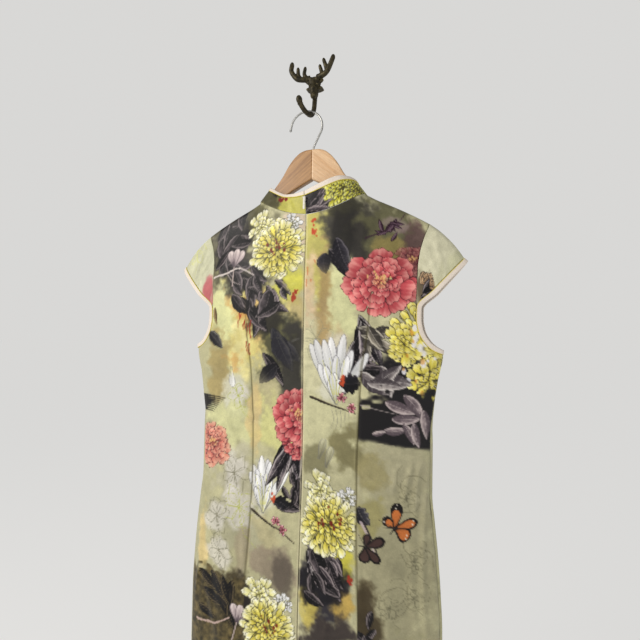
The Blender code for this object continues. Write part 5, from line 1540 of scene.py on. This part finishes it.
def print_back_right(cloth):
    """The right half of the back, whose outer part below the arm is another stretch of the print."""
    dart = at_level(DART, 1, cloth.z)
    inner, outer = cloth.x <= dart, cloth.x > dart
    block_low = np.interp(cloth.x, BLOCK_SPAN, BLOCK_LOW)
    line_flower(cloth, 22, -200, 34, 6, "8E8B74", 0.6)
    spots(cloth, 15, -24, 5, 16, 12, 2.2, "C8482A", 51)
    drips(cloth, 10, -72, 36, 5, "CC6A3A", 52)
    wash(cloth, 66, -44, 26, 40, "2B2928", 0.85, seed=57)
    leaf(cloth, 40, -58, -0.95, 62, 24, shades_of("131118", "2F2C34", "C9BDB6"), 53)
    leaf(cloth, 52, -40, -1.15, 66, 26, shades_of("1B1920", "3A3740", "8C8688"), 55, fade=0.4)
    leaf(cloth, 34, -64, -1.5, 34, 24, shades_of("1A181E", "34323A", "5E5A5C"), 54, fade=0.4)
    brush(cloth, [(98, -42), (122, -32), (146, -18), (162, -4)], 2.2, 1.2, "3A2433", 0.95)
    wash(cloth, 142, -20, 22, 16, "A08C8E", 0.5, seed=58)
    wine = shades_of("2C1826", "563E4E", "8E7882")
    thicket(cloth, 138, -26, 22, 14, 10, 24, 0.5, wine, 59, width=0.3, spread=1.2)
    peony(cloth, 170, -80, 30, 56, shades_of("50292E", "8A4A4C", "AE7A70"), cover=0.7)
    leaves(cloth, 94, -176, -1.3, 0.9, 8, 84, STRIPED, 62, width=0.22, strew=0.3)
    thicket(cloth, 128, -202, 26, 18, 8, 50, -0.5, STONE, 63, width=0.36)
    wash(cloth, 160, -262, 44, 46, "151317", 0.97, rough=0.5, seed=64)
    thicket(cloth, 104, -250, 20, 30, 9, 42, -1.1, CHARCOAL, 65)
    spike_flower(cloth, 55, -302, 102, math.pi / 2 + 0.06, 71)
    flower(cloth, 190, -196, 56, MUM_RINGS, LEMON, INK_DARK, 66, ink=0.85)
    flower(cloth, 160, -206, 40, PALE_RINGS, LEMON, INK_DARK, 67, ink=0.85, frill=0.06)
    flower(cloth, 198, -262, 40, PALE_RINGS, LEMON, INK_DARK, 68, ink=0.85, frill=0.06)
    spots(cloth, 182, -215, 30, 60, 14, 3.6, "ECEAEE", 69, cover=0.9)
    spots(cloth, 180, -232, 36, 60, 10, 3.0, "E09A3C", 70, cover=0.6)
    thicket(cloth, 128, -268, 20, 18, 6, 50, -0.4, shades_of("453E42", "C4BBB6", "EEE8E2"), 73, width=0.44)
    leaf(cloth, 93, -268, 3.2, 34, 34, shades_of("0F0E12", "26242C", "5E5658"), 74, lobes=0.3)
    spots(cloth, 66, -266, 5, 14, 8, 1.8, "C8502E", 75)
    peony(cloth, 124, -114, 60, 76)
    cloth.allowed = (outer | (cloth.z >= BLOCK_FROM_Z)).astype(float)
    block = cloth.near(150, -325, 85)
    ragged = mottle(cloth.x[block], cloth.z[block], 9, 3) - 0.5
    upper = BLOCK_TOP - cloth.z[block] + 40 * ragged + 0.2 * (cloth.x[block] - BLOCK_SPAN[0])
    inside = np.minimum(upper, cloth.z[block] - block_low[block] + 4 * ragged)
    cloth.lay(block, hex_rgb("1B191B"), ease(inside / 9 + 0.5) * (cloth.x[block] > dart[block]))
    cloth.allowed = (outer & (cloth.z > block_low - 8)).astype(float)
    brush(cloth, [(94, -302), (120, -308), (150, -314)], 1.8, 1.0, "A89C9A", 0.75)
    for number, (x, z, way, long) in enumerate(BLOCK_LEAVES):
        leaf(cloth, x, z, way, long, 0.36 * long, MAUVE, number, lobes=0.02)
    cloth.allowed[:] = 1.0
    twig(cloth, [(13, -293), (45, -304), (86, -316)], [(64, -292), (80, -308)], 80)
    for step in range(5):
        stalk = [(48 + 7 * step, -312), (52 + 6 * step, -326 - 3 * step), (46 + 8 * step, -342)]
        brush(cloth, stalk, 1.0, 0.6, "8A867A", 0.7)
    cloth.allowed = inner.astype(float)
    for x, z in ((28, -390), (40, -402)):
        petal(cloth, x, z, 1.3, 34, 12, shades_of("6E6C58", "9A977C", "C9C6A6"), INK_GREY, cover=0.8)
    leafy_mum(cloth, 47, -490, 51, 81)
    leafy_peony(cloth, 60, -700, 46, 85)
    mum(cloth, 50, -880, 46, 86)
    cloth.allowed = (outer & (cloth.z < block_low)).astype(float)
    clouds(cloth, BACK_RIGHT_OUTER_CLOUDS)
    wash(cloth, 106, -650, 30, 84, "3E3422", 0.92, seed=90)
    thicket(cloth, 108, -650, 14, 40, 8, 40, -1.2, CHARCOAL, 89)
    leaf(cloth, 92, -458, -0.9, 32, 26, shades_of("17161C", "45434C", "9A9488"), 91, lobes=0.3)
    brush(cloth, [(98, -480), (112, -505), (122, -530)], 4.0, 2.4, "B9A8AC", 0.9)
    brush(cloth, [(102, -480), (116, -505), (126, -528)], 3.0, 2.0, "2A2429", 0.9)
    scrolls = [
        (172, -440, 26, 92), (186, -532, 26, 93), (150, -600, 30, 94), (186, -586, 22, 95),
        (150, -690, 34, 96),
    ]
    for x, z, size, seed in scrolls:
        scroll(cloth, x, z, size, seed, "5E5A44")
        line_flower(cloth, x - 6, z, size * 0.7, seed, "6A6750", 0.6)
    butterfly(cloth, 150, -484, 37, 0.45, "C47038", "120E0E", 97, True)
    butterfly(cloth, 106, -516, 32, -0.6, "43302C", "120E0E", 98, False)
    mum(cloth, 160, -790, 50, 99)
    leaves(cloth, 150, -850, -1.2, 2.4, 9, 50, CHARCOAL, 100, strew=0.8)
    cloth.allowed[:] = 1.0
    seams(cloth, 1)


FRONT_CLOUDS = [
    (0, -450, 260, 560, "BDB991", 1.0),
    (120, -40, 80, 60, "5A5740", 0.9), (-60, -60, 60, 50, "C6C06C", 0.9),
    (-150, -60, 50, 60, "4B463A", 0.9), (20, -160, 60, 60, "D6C98A", 0.9),
    (-110, -200, 60, 70, "D3D2A0", 0.9), (150, -200, 50, 70, "A5966A", 0.85),
    (40, -280, 50, 60, "4A4836", 0.9), (-30, -350, 60, 60, "CFCB8E", 0.9),
    (-160, -340, 40, 50, "6B6850", 0.85), (130, -400, 70, 60, "B8B397", 0.9),
    (-90, -480, 80, 60, "ADA98A", 0.9), (40, -520, 50, 60, "8E8370", 0.8),
    (130, -600, 70, 60, "3E382C", 0.95), (-120, -640, 70, 60, "CBBF7C", 0.9),
    (10, -680, 70, 60, "BDB890", 0.9), (-40, -800, 90, 60, "4A4436", 0.9),
    (140, -780, 60, 70, "D0C884", 0.9), (80, -900, 80, 50, "A7A382", 0.9),
    (-150, -900, 60, 50, "C8C08A", 0.85),
]


def print_front(cloth):
    """The front, made up from the same motifs."""
    outlined = [
        (-60, -220, 34, 111), (90, -330, 30, 112), (-120, -420, 34, 113), (60, -620, 34, 114),
        (-80, -740, 34, 115), (150, -680, 30, 116),
    ]
    for x, z, size, seed in outlined:
        line_flower(cloth, x, z, size, seed)
        scroll(cloth, x + 40, z - 20, 24, seed)
    leaves(cloth, 120, -20, -1.6, 2.4, 9, 56, CHARCOAL, 121, strew=0.8)
    leaves(cloth, -140, -40, -1.2, 2.0, 8, 56, PLUM, 122, strew=0.7)
    leafy_mum(cloth, 60, -110, 56, 123)
    leafy_peony(cloth, -90, -130, 54, 125)
    leaves(cloth, 60, -260, -0.9, 2.0, 8, 54, CHARCOAL, 127, strew=0.8)
    mum(cloth, -20, -400, 54, 128)
    leafy_peony(cloth, 130, -400, 50, 130)
    leaves(cloth, -140, -380, -1.3, 1.8, 7, 52, CHARCOAL, 132, strew=0.7)
    drips(cloth, -60, -180, 70, 8, "C9702F", 133)
    butterfly(cloth, -70, -540, 30, 2.4, "D9713A", "1B1716", 134, True)
    leafy_mum(cloth, -130, -600, 56, 135)
    leaves(cloth, 120, -570, -1.0, 2.2, 9, 52, CHARCOAL, 137, strew=0.8)
    leafy_peony(cloth, 20, -690, 52, 138)
    mum(cloth, 140, -760, 54, 140)
    peony(cloth, -130, -830, 52, 142)
    leaves(cloth, 60, -840, -1.2, 2.2, 8, 54, PLUM, 143, strew=0.7)
    twig(cloth, [(-160, -700), (-110, -712), (-70, -730)], [(-120, -706)], 144)


SLEEVE_LEFT_CLOUDS = [  # down from the armhole and round from the shoulder
    (30, 0, 90, 200, "CBCBAC", 1.0), (20, 40, 40, 50, "DADBC4", 0.8), (14, -92, 17, 24, "B8525A", 0.85),
    (30, 60, 40, 30, "B5A684", 0.6),
]
SLEEVE_RIGHT_CLOUDS = [
    (30, 0, 90, 200, "C6C5A4", 1.0), (22, -20, 40, 50, "D2CFB4", 0.8), (20, -88, 20, 24, "5A4C3C", 0.85),
    (30, 60, 40, 30, "B5A684", 0.6),
]
COLLAR_LEFT_CLOUDS = [  # round from the centre back and up from the neck seam
    (-90, 15, 130, 60, "BDB66A", 1.0), (-78, 12, 50, 40, "55523C", 0.95), (-62, 28, 12, 10, "2A2426", 0.9),
    (-20, 12, 30, 34, "C3BE5C", 0.9), (-160, 12, 50, 40, "A9A26E", 0.8),
]
COLLAR_RIGHT_CLOUDS = [
    (90, 15, 130, 60, "C9C25A", 1.0), (18, 12, 30, 40, "231F26", 0.97), (150, 12, 50, 40, "A9A26E", 0.8),
]


def print_sleeve_left(cloth):
    """The left sleeve: pale, with outlined flowers."""
    line_flower(cloth, 34, -8, 26, 151, "D2D468", 0.7)
    line_flower(cloth, 22, 60, 22, 152, "A9A68C", 0.5)


def print_sleeve_right(cloth):
    """The right sleeve: pale, with a brown bloom at its back corner."""
    tan = shades_of("6A4A3A", "9A7A5C", "BDA27E")
    flower(cloth, 22, -84, 18, PEONY_RINGS[:3], tan, INK_DARK, 161, fan=(0.0, 0.55))
    leaves(cloth, 12, -100, 0.6, 1.4, 4, 26, CHARCOAL, 162)


def print_collar_left(cloth):
    """The collar's left half: yellow and dark, with red flecks."""
    spots(cloth, -45, 22, 12, 8, 9, 2.2, "7E1F22", 171)


def print_collar_right(cloth):
    """The collar's right half: dark leaves and yellow mums."""
    leaves(cloth, 2, 8, 0.4, 1.3, 6, 44, PLUM, 181, width=0.4)
    flower(cloth, 66, 20, 34, MUM_RINGS, YELLOW, INK_DARK, 182, ink=0.8)
    flower(cloth, 88, 8, 24, MUM_RINGS, YELLOW, INK_DARK, 183, ink=0.8)


LINING = hex_rgb("C9C4AE")
SHOW_THROUGH = 0.35  # how much of the print shows on the reverse


def dye_piece(piece, places, is_outer, cloud_rows, painter):
    """Prints a cloth piece, clouds first: strong on its face, faint on its reverse."""
    cloth = Print(places, "BDB993")
    clouds(cloth, cloud_rows)
    painter(cloth)
    rgb = np.clip(cloth.rgb, 0, 1)
    rgb[~is_outer] = rgb[~is_outer] * SHOW_THROUGH + LINING * (1 - SHOW_THROUGH)
    colour_piece(piece, places, rgb)


def colour_piece(piece, places, rgb):
    """Stores each point's colour, and its flat place as the cloth's own coordinates in metres."""
    layer = piece.data.color_attributes.new("print", "FLOAT_COLOR", "POINT")
    values = np.concatenate([linear(rgb), np.ones((len(rgb), 1))], axis=1)
    layer.data.foreach_set("color", values.ravel().astype(np.float32))
    uv = piece.data.uv_layers.new(name="cloth")
    corner = np.zeros(len(piece.data.loops), np.int32)
    piece.data.loops.foreach_get("vertex_index", corner)
    uv.data.foreach_set("uv", (places[corner] * MM).ravel().astype(np.float32))


BINDING_EDGE = 0.86  # the yellow edge starts at this share of the binding's width


def colour_binding(piece, places):
    share = places[:, 1] / places[:, 1].max()
    yellow = ease((share - BINDING_EDGE) / 0.06)[:, None]
    soft = (cloud(places[:, 0], places[:, 1] * 4, 30, 211) - 0.5)[:, None]
    cream = hex_rgb("E9DDD0") * (1 + 0.06 * soft)
    colour_piece(piece, places, cream + (hex_rgb("D9C84E") - cream) * yellow)


def seams(cloth, side):
    """The dart's dark line, its stitched seam with painted shade in its crease, a painted highlight beside
    it, and a pale painted highlight along the turned edge at the centre back.
    """
    everywhere = np.arange(len(cloth.x))
    dart = at_level(DART, 1, cloth.z) * side
    deep = at_level(DART, 2, cloth.z) / 1.5
    # A dark line down the dart: the stitched seam, and painted shade in the dart's crease, stronger where
    # the crease is deeper.
    dart_seam_and_painted_shade = np.exp(-(((cloth.x - dart) / 1.3) ** 2)) * np.clip(deep + 0.25 * (cloth.z < -100), 0, 1)
    cloth.lay(everywhere, hex_rgb("3F3A20"), dart_seam_and_painted_shade * 0.7)
    # A pale line just outside the dart, as strong as the crease is deep: painted highlight on the crease's
    # edge.
    dart_painted_highlight = np.exp(-(((cloth.x - dart + 2.6 * side) / 0.9) ** 2))
    cloth.lay(everywhere, hex_rgb("DDD2A0"), dart_painted_highlight * deep * 0.3)
    # A pale line along the turned edge by the zip: painted highlight.
    zip_edge_painted_highlight = np.exp(-(((np.abs(cloth.x) - 1.6) / 0.9) ** 2))
    cloth.lay(everywhere, hex_rgb("E2D9B4"), zip_edge_painted_highlight * 0.65)


def set_up(tree, node, settings=(), links=()):
    """Sets a node's properties and sockets, and links what feeds it."""
    for name, value in settings:
        if isinstance(name, str) and hasattr(node, name):
            setattr(node, name, value)
        else:
            node.inputs[name].default_value = value
    for name, source in links:
        tree.links.new(source, node.inputs[name])
    return node


def add(tree, kind, settings=(), links=()):
    """Adds a shader node with its settings and links."""
    return set_up(tree, tree.nodes.new(f"ShaderNode{kind}"), settings, links)


def new_finish(name):
    finish = bpy.data.materials.new(name)
    finish.use_nodes = True
    tree = finish.node_tree
    return finish, tree, tree.nodes["Principled BSDF"]


def colour_of(text):
    return (*linear(hex_rgb(text)), 1)


def surface(colour, rough, bump):
    """What feeds the surface shader, as its links."""
    return [("Base Color", colour), ("Roughness", rough), ("Normal", bump)]


def woven_satin(name, gloss_low, gloss_high):
    """Polyester satin: long floats give a soft gloss, broken by a faint slub across the warp. Its threads
    are 0.1 mm apart, too fine to show, so the slub is drawn at 0.7 mm. Its dye is the "print" attribute."""
    finish, tree, shader = new_finish(name)
    dyed = add(tree, "Attribute", [("attribute_name", "print")])
    place = add(tree, "UVMap", [("uv_map", "cloth")])
    weft = add(tree, "Mapping", [("Scale", (260, 1400, 1))], [("Vector", place.outputs["UV"])])
    slub = add(tree, "TexNoise", [("Scale", 1.0), ("Detail", 2.0)], [("Vector", weft.outputs["Vector"])])
    grain = add(tree, "TexNoise", [("Scale", 420.0), ("Detail", 3.0)], [("Vector", place.outputs["UV"])])
    spread = [("From Min", 0.3), ("From Max", 0.7)]
    limits = [*spread, ("To Min", 0.93), ("To Max", 1.06)]
    tone = add(tree, "MapRange", limits, [("Value", grain.outputs["Fac"])])
    inks = [("Color", dyed.outputs["Color"]), ("Value", tone.outputs["Result"])]
    inked = add(tree, "HueSaturation", [], inks)
    limits = [("To Min", gloss_low), ("To Max", gloss_high)]
    gloss = add(tree, "MapRange", [*spread, *limits], [("Value", slub.outputs["Fac"])])
    bump = add(tree, "Bump", [("Strength", 0.12), ("Distance", 0.0004)], [("Height", slub.outputs["Fac"])])
    sheen = [("Specular IOR Level", 0.20), ("Sheen Weight", 0.02), ("Sheen Roughness", 0.4)]
    links = surface(inked.outputs["Color"], gloss.outputs["Result"], bump.outputs["Normal"])
    set_up(tree, shader, sheen, links)
    return finish


GRAIN_TURN = (0, math.radians(38), 0)  # down and outwards, along each arm


def lacquered_beech():
    """Beech under clear satin lacquer: pale and warm, its rings 4 mm apart and its flecks 1 mm. The arm at
    negative x is painted darker than the other: painted shade.
    """
    finish, tree, shader = new_finish("beech_lacquered")
    place = add(tree, "TexCoord")
    split = add(tree, "SeparateXYZ", [], [("Vector", place.outputs["Object"])])
    off = add(tree, "Math", [("operation", "SUBTRACT"), (1, PLACE[0] * MM)], [(0, split.outputs["X"])])
    side = add(tree, "Math", [("operation", "ABSOLUTE")], [(0, off.outputs[0])])
    arms = [("X", side.outputs[0]), ("Y", split.outputs["Y"]), ("Z", split.outputs["Z"])]
    folded = add(tree, "CombineXYZ", [], arms)
    turned = [("vector_type", "TEXTURE"), ("Rotation", GRAIN_TURN)]
    folded_at = [("Vector", folded.outputs[0])]
    along = add(tree, "Mapping", [*turned, ("Scale", (0.11, 0.017, 0.004))], folded_at)
    noise = [("Scale", 1.0), ("Detail", 4.0), ("Distortion", 0.5)]
    rings = add(tree, "TexNoise", noise, [("Vector", along.outputs[0])])
    fine = add(tree, "Mapping", [*turned, ("Scale", (0.009, 0.0011, 0.0008))], folded_at)
    fleck = add(tree, "TexNoise", [("Scale", 1.0), ("Detail", 1.0)], [("Vector", fine.outputs[0])])
    limits = [("From Min", 0.3), ("From Max", 0.7)]
    band = add(tree, "MapRange", limits, [("Value", rings.outputs["Fac"])])
    # The arm at negative x takes darker tones than the arm at positive x: painted shade on one arm of the
    # same beech.
    is_right = add(tree, "Math", [("operation", "GREATER_THAN"), (1, 0.0)], [(0, off.outputs[0])])
    left_arm_painted_shade_tones = [("data_type", "RGBA"), (6, colour_of("8E6338")), (7, colour_of("C0925F"))]
    left = add(tree, "Mix", left_arm_painted_shade_tones, [(0, band.outputs["Result"])])
    right_shades = [("data_type", "RGBA"), (6, colour_of("D2A474")), (7, colour_of("EAC69C"))]
    right = add(tree, "Mix", right_shades, [(0, band.outputs["Result"])])
    arms = [(0, is_right.outputs[0]), (6, left.outputs[2]), (7, right.outputs[2])]
    both = add(tree, "Mix", [("data_type", "RGBA")], arms)
    limits = [("From Min", 0.35), ("From Max", 0.6), ("To Min", 0.88), ("To Max", 1.03)]
    tone = add(tree, "MapRange", limits, [("Value", fleck.outputs["Fac"])])
    dyed = [("Color", both.outputs[2]), ("Value", tone.outputs["Result"])]
    shaded = add(tree, "HueSaturation", [], dyed)
    rough = add(tree, "MapRange", [("To Min", 0.34), ("To Max", 0.5)], [("Value", rings.outputs["Fac"])])
    bump = add(tree, "Bump", [("Strength", 0.15), ("Distance", 0.0003)], [("Height", rings.outputs["Fac"])])
    coat = [("Coat Weight", 0.25), ("Coat Roughness", 0.3)]
    links = surface(shaded.outputs["Color"], rough.outputs["Result"], bump.outputs["Normal"])
    set_up(tree, shader, coat, links)
    return finish


def plain_finish(name, shades, size, rough, metallic=0.0, relief=(0.1, 0.0003), detail=3.0):
    """Two close shades in patches of a size in millimetres, with gloss and relief to match."""
    finish, tree, shader = new_finish(name)
    place = add(tree, "TexCoord")
    noise = [("Scale", 1000.0 / size), ("Detail", detail)]
    patch = add(tree, "TexNoise", noise, [("Vector", place.outputs["Object"])])
    limits = [("From Min", 0.35), ("From Max", 0.65)]
    band = add(tree, "MapRange", limits, [("Value", patch.outputs["Fac"])])
    pair = [("data_type", "RGBA"), (6, colour_of(shades[0])), (7, colour_of(shades[1]))]
    colour = add(tree, "Mix", pair, [(0, band.outputs["Result"])])
    limits = [("To Min", rough[0]), ("To Max", rough[1])]
    gloss = add(tree, "MapRange", limits, [("Value", band.outputs["Result"])])
    depth = [("Strength", relief[0]), ("Distance", relief[1])]
    bump = add(tree, "Bump", depth, [("Height", patch.outputs["Fac"])])
    links = surface(colour.outputs[2], gloss.outputs["Result"], bump.outputs["Normal"])
    set_up(tree, shader, [("Metallic", metallic)], links)
    return finish, tree, shader


def plated_steel():
    """Zinc-plated wire, drawn: an even soft shine, a little duller in patches."""
    shades = ("A2A29F", "B4B4B1")
    return plain_finish("steel_wire_plated", shades, 14.0, (0.30, 0.38), 1.0, (0.02, 0.0002))[0]


def patinated_iron():
    """Cast iron with a dark bronze patina, rubbed lighter on what stands out, in 5 mm patches."""
    shades = ("221E13", "4A4229")
    finish, tree, shader = plain_finish(
        "cast_iron_patinated", shades, 5.0, (0.60, 0.46), 0.55, (0.25, 0.0005), 5.0,
    )
    shape = add(tree, "NewGeometry")
    limits = [("From Min", 0.52), ("From Max", 0.60)]
    worn = add(tree, "MapRange", limits, [("Value", shape.outputs["Pointiness"])])
    under = shader.inputs["Base Color"].links[0].from_socket
    rub = [("data_type", "RGBA"), (7, colour_of("877B52"))]
    rubbed = add(tree, "Mix", rub, [(0, worn.outputs["Result"]), (6, under)])
    set_up(tree, shader, links=[("Base Color", rubbed.outputs[2])])
    return finish


def woven_tape():
    """Polyester zip tape, a fine twill whose ribs are 1 mm apart."""
    finish, tree, shader = new_finish("zip_tape_twill")
    place = add(tree, "TexCoord")
    twill = [("Scale", 160.0), ("bands_direction", "DIAGONAL"), ("Distortion", 0.4)]
    rib = add(tree, "TexWave", twill, [("Vector", place.outputs["Object"])])
    pair = [("data_type", "RGBA"), (6, colour_of("CFC7B4")), (7, colour_of("E4DFD2"))]
    colour = add(tree, "Mix", pair, [(0, rib.outputs["Fac"])])
    bump = add(tree, "Bump", [("Strength", 0.4), ("Distance", 0.0003)], [("Height", rib.outputs["Fac"])])
    links = [("Base Color", colour.outputs[2]), ("Normal", bump.outputs["Normal"])]
    set_up(tree, shader, [("Roughness", 0.7), ("Sheen Weight", 0.2)], links)
    return finish


def enamel():
    """Cream enamel baked on zinc: smooth, with a thin clear gloss over faint 3 mm patches."""
    shades = ("E4DED2", "EFEAE0")
    finish, tree, shader = plain_finish(
        "zip_enamel_cream", shades, 3.0, (0.26, 0.36), relief=(0.03, 0.0003),
    )
    set_up(tree, shader, [("Coat Weight", 0.4)])
    return finish


def set_piece(piece, node, finish, body=BODY):
    """Puts a piece on its body in place of its solid, with its finish."""
    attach(piece, body)
    if node:
        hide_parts(node)
    piece.data.materials.clear()
    piece.data.materials.append(finish)


satin = woven_satin("printed_satin", 0.34, 0.5)
trim = woven_satin("cream_satin_binding", 0.38, 0.54)
PRINTS = {  # each piece's dye clouds, and what draws on them
    "back_left": (BACK_LEFT_CLOUDS, print_back_left),
    "back_right": (BACK_RIGHT_CLOUDS, print_back_right),
    "front": (FRONT_CLOUDS, print_front),
    "sleeve_left": (SLEEVE_LEFT_CLOUDS, print_sleeve_left),
    "sleeve_right": (SLEEVE_RIGHT_CLOUDS, print_sleeve_right),
    "collar_left": (COLLAR_LEFT_CLOUDS, print_collar_left),
    "collar_right": (COLLAR_RIGHT_CLOUDS, print_collar_right),
}

shells = build_body()
bindings = {}
for side, name in ((1, "right"), (-1, "left")):
    shells[f"sleeve_{name}"], bindings[f"armhole_binding_{name}"] = build_sleeve(side, name)
    shells[f"collar_{name}"], bindings[f"collar_binding_{name}"] = build_collar(side, name)
for node, (piece, places) in bindings.items():
    set_piece(piece, node, trim)
    colour_binding(piece, places)
for node, (piece, places, is_outer) in shells.items():
    set_piece(piece, node, satin)
    dye_piece(piece, places, is_outer, *PRINTS[node])

tape = build_tape()
coil = build_coil()
set_piece(tape, "zip_tape", woven_tape())
cream = enamel()
set_piece(coil, None, cream)
set_piece(build_slider(), "zip_slider", cream)
set_piece(build_pull(), "zip_pull", cream, "zip_pull")
set_piece(build_wood(), "hanger_wood", lacquered_beech())
set_piece(build_wire(), "hanger_hook", plated_steel())
set_piece(build_wall_hook(), "wall_hook", patinated_iron())

# Camera at the photograph's place, lights and floor
TURN, PITCH, ROLL = math.radians(18.5), math.radians(-1.8), math.radians(1.0)
CAMERA_AT = (0.2784, -0.7885, -0.430)
LENS = 27.06


def build_camera():
    """The camera, turned, tipped and rolled as it was fitted to the photograph."""
    ahead = Vector((-math.sin(TURN) * math.cos(PITCH), math.cos(TURN) * math.cos(PITCH), -math.sin(PITCH)))
    right = Vector((math.cos(TURN), math.sin(TURN), 0))
    up = right.cross(ahead)
    rolled = math.cos(ROLL) * right + math.sin(ROLL) * up
    upright = -math.sin(ROLL) * right + math.cos(ROLL) * up
    data = bpy.data.cameras.new("camera")
    data.lens = LENS
    camera = bpy.data.objects.new("camera", data)
    bpy.context.scene.collection.objects.link(camera)
    camera.matrix_world = Matrix((
        (rolled.x, upright.x, -ahead.x, CAMERA_AT[0]),
        (rolled.y, upright.y, -ahead.y, CAMERA_AT[1]),
        (rolled.z, upright.z, -ahead.z, CAMERA_AT[2]),
        (0, 0, 0, 1),
    ))
    bpy.context.scene.camera = camera


def add_light(name, place, size, power):
    data = bpy.data.lights.new(name, "AREA")
    data.color = LIGHT_COLOUR
    data.size = size
    data.energy = power
    light = bpy.data.objects.new(name, data)
    light.location = place
    light.rotation_euler = (Vector(DRESS_MIDDLE) - Vector(place)).to_track_quat("-Z", "Y").to_euler()
    bpy.context.scene.collection.objects.link(light)


WALL_TONE = (0.69, 0.685, 0.672, 1)  # the plain pale ground that the camera sees
ROOM_LIGHT = 0.31
FLOOR_TONE = 0.25
FLOOR_Z = -1.45
FLOOR_WIDE = 80
DRESS_MIDDLE = (0, -0.05, -0.5)  # what the lights are turned to
LIGHT_COLOUR = (1.0, 0.955, 0.89)


def build_stage():
    """A wide pale floor that runs into an even pale ground, and soft light from the upper left."""
    bpy.ops.object.select_all(action="DESELECT")
    bpy.ops.mesh.primitive_plane_add(size=FLOOR_WIDE, location=(0, 0, FLOOR_Z))
    floor = bpy.context.object
    floor.name = "floor"
    paint, tree, shader = new_finish("floor_pale")
    glow = (*(tone - FLOOR_TONE * ROOM_LIGHT for tone in WALL_TONE[:3]), 1)
    matt = [("Base Color", (*[FLOOR_TONE] * 3, 1)), ("Roughness", 1.0), ("Specular IOR Level", 0.0)]
    set_up(tree, shader, [*matt, ("Emission Color", glow), ("Emission Strength", 1.0)])
    floor.data.materials.append(paint)
    world = bpy.data.worlds.new("studio")
    world.use_nodes = True
    tree = world.node_tree
    soft = set_up(tree, tree.nodes["Background"], [("Color", (1, 1, 1, 1)), ("Strength", ROOM_LIGHT)])
    ground = add(tree, "Background", [("Color", WALL_TONE)])
    path = add(tree, "LightPath")
    grounds = [(0, path.outputs["Is Camera Ray"]), (1, soft.outputs[0]), (2, ground.outputs[0])]
    both = add(tree, "MixShader", [], grounds)
    set_up(tree, tree.nodes["World Output"], links=[("Surface", both.outputs[0])])
    bpy.context.scene.world = world
    add_light("key", (-1.5, -1.7, 0.5), 1.2, 38)
    add_light("fill", (1.8, -1.6, -0.2), 1.6, 7)
    bpy.context.scene.view_settings.view_transform = "Standard"


build_camera()
build_stage()
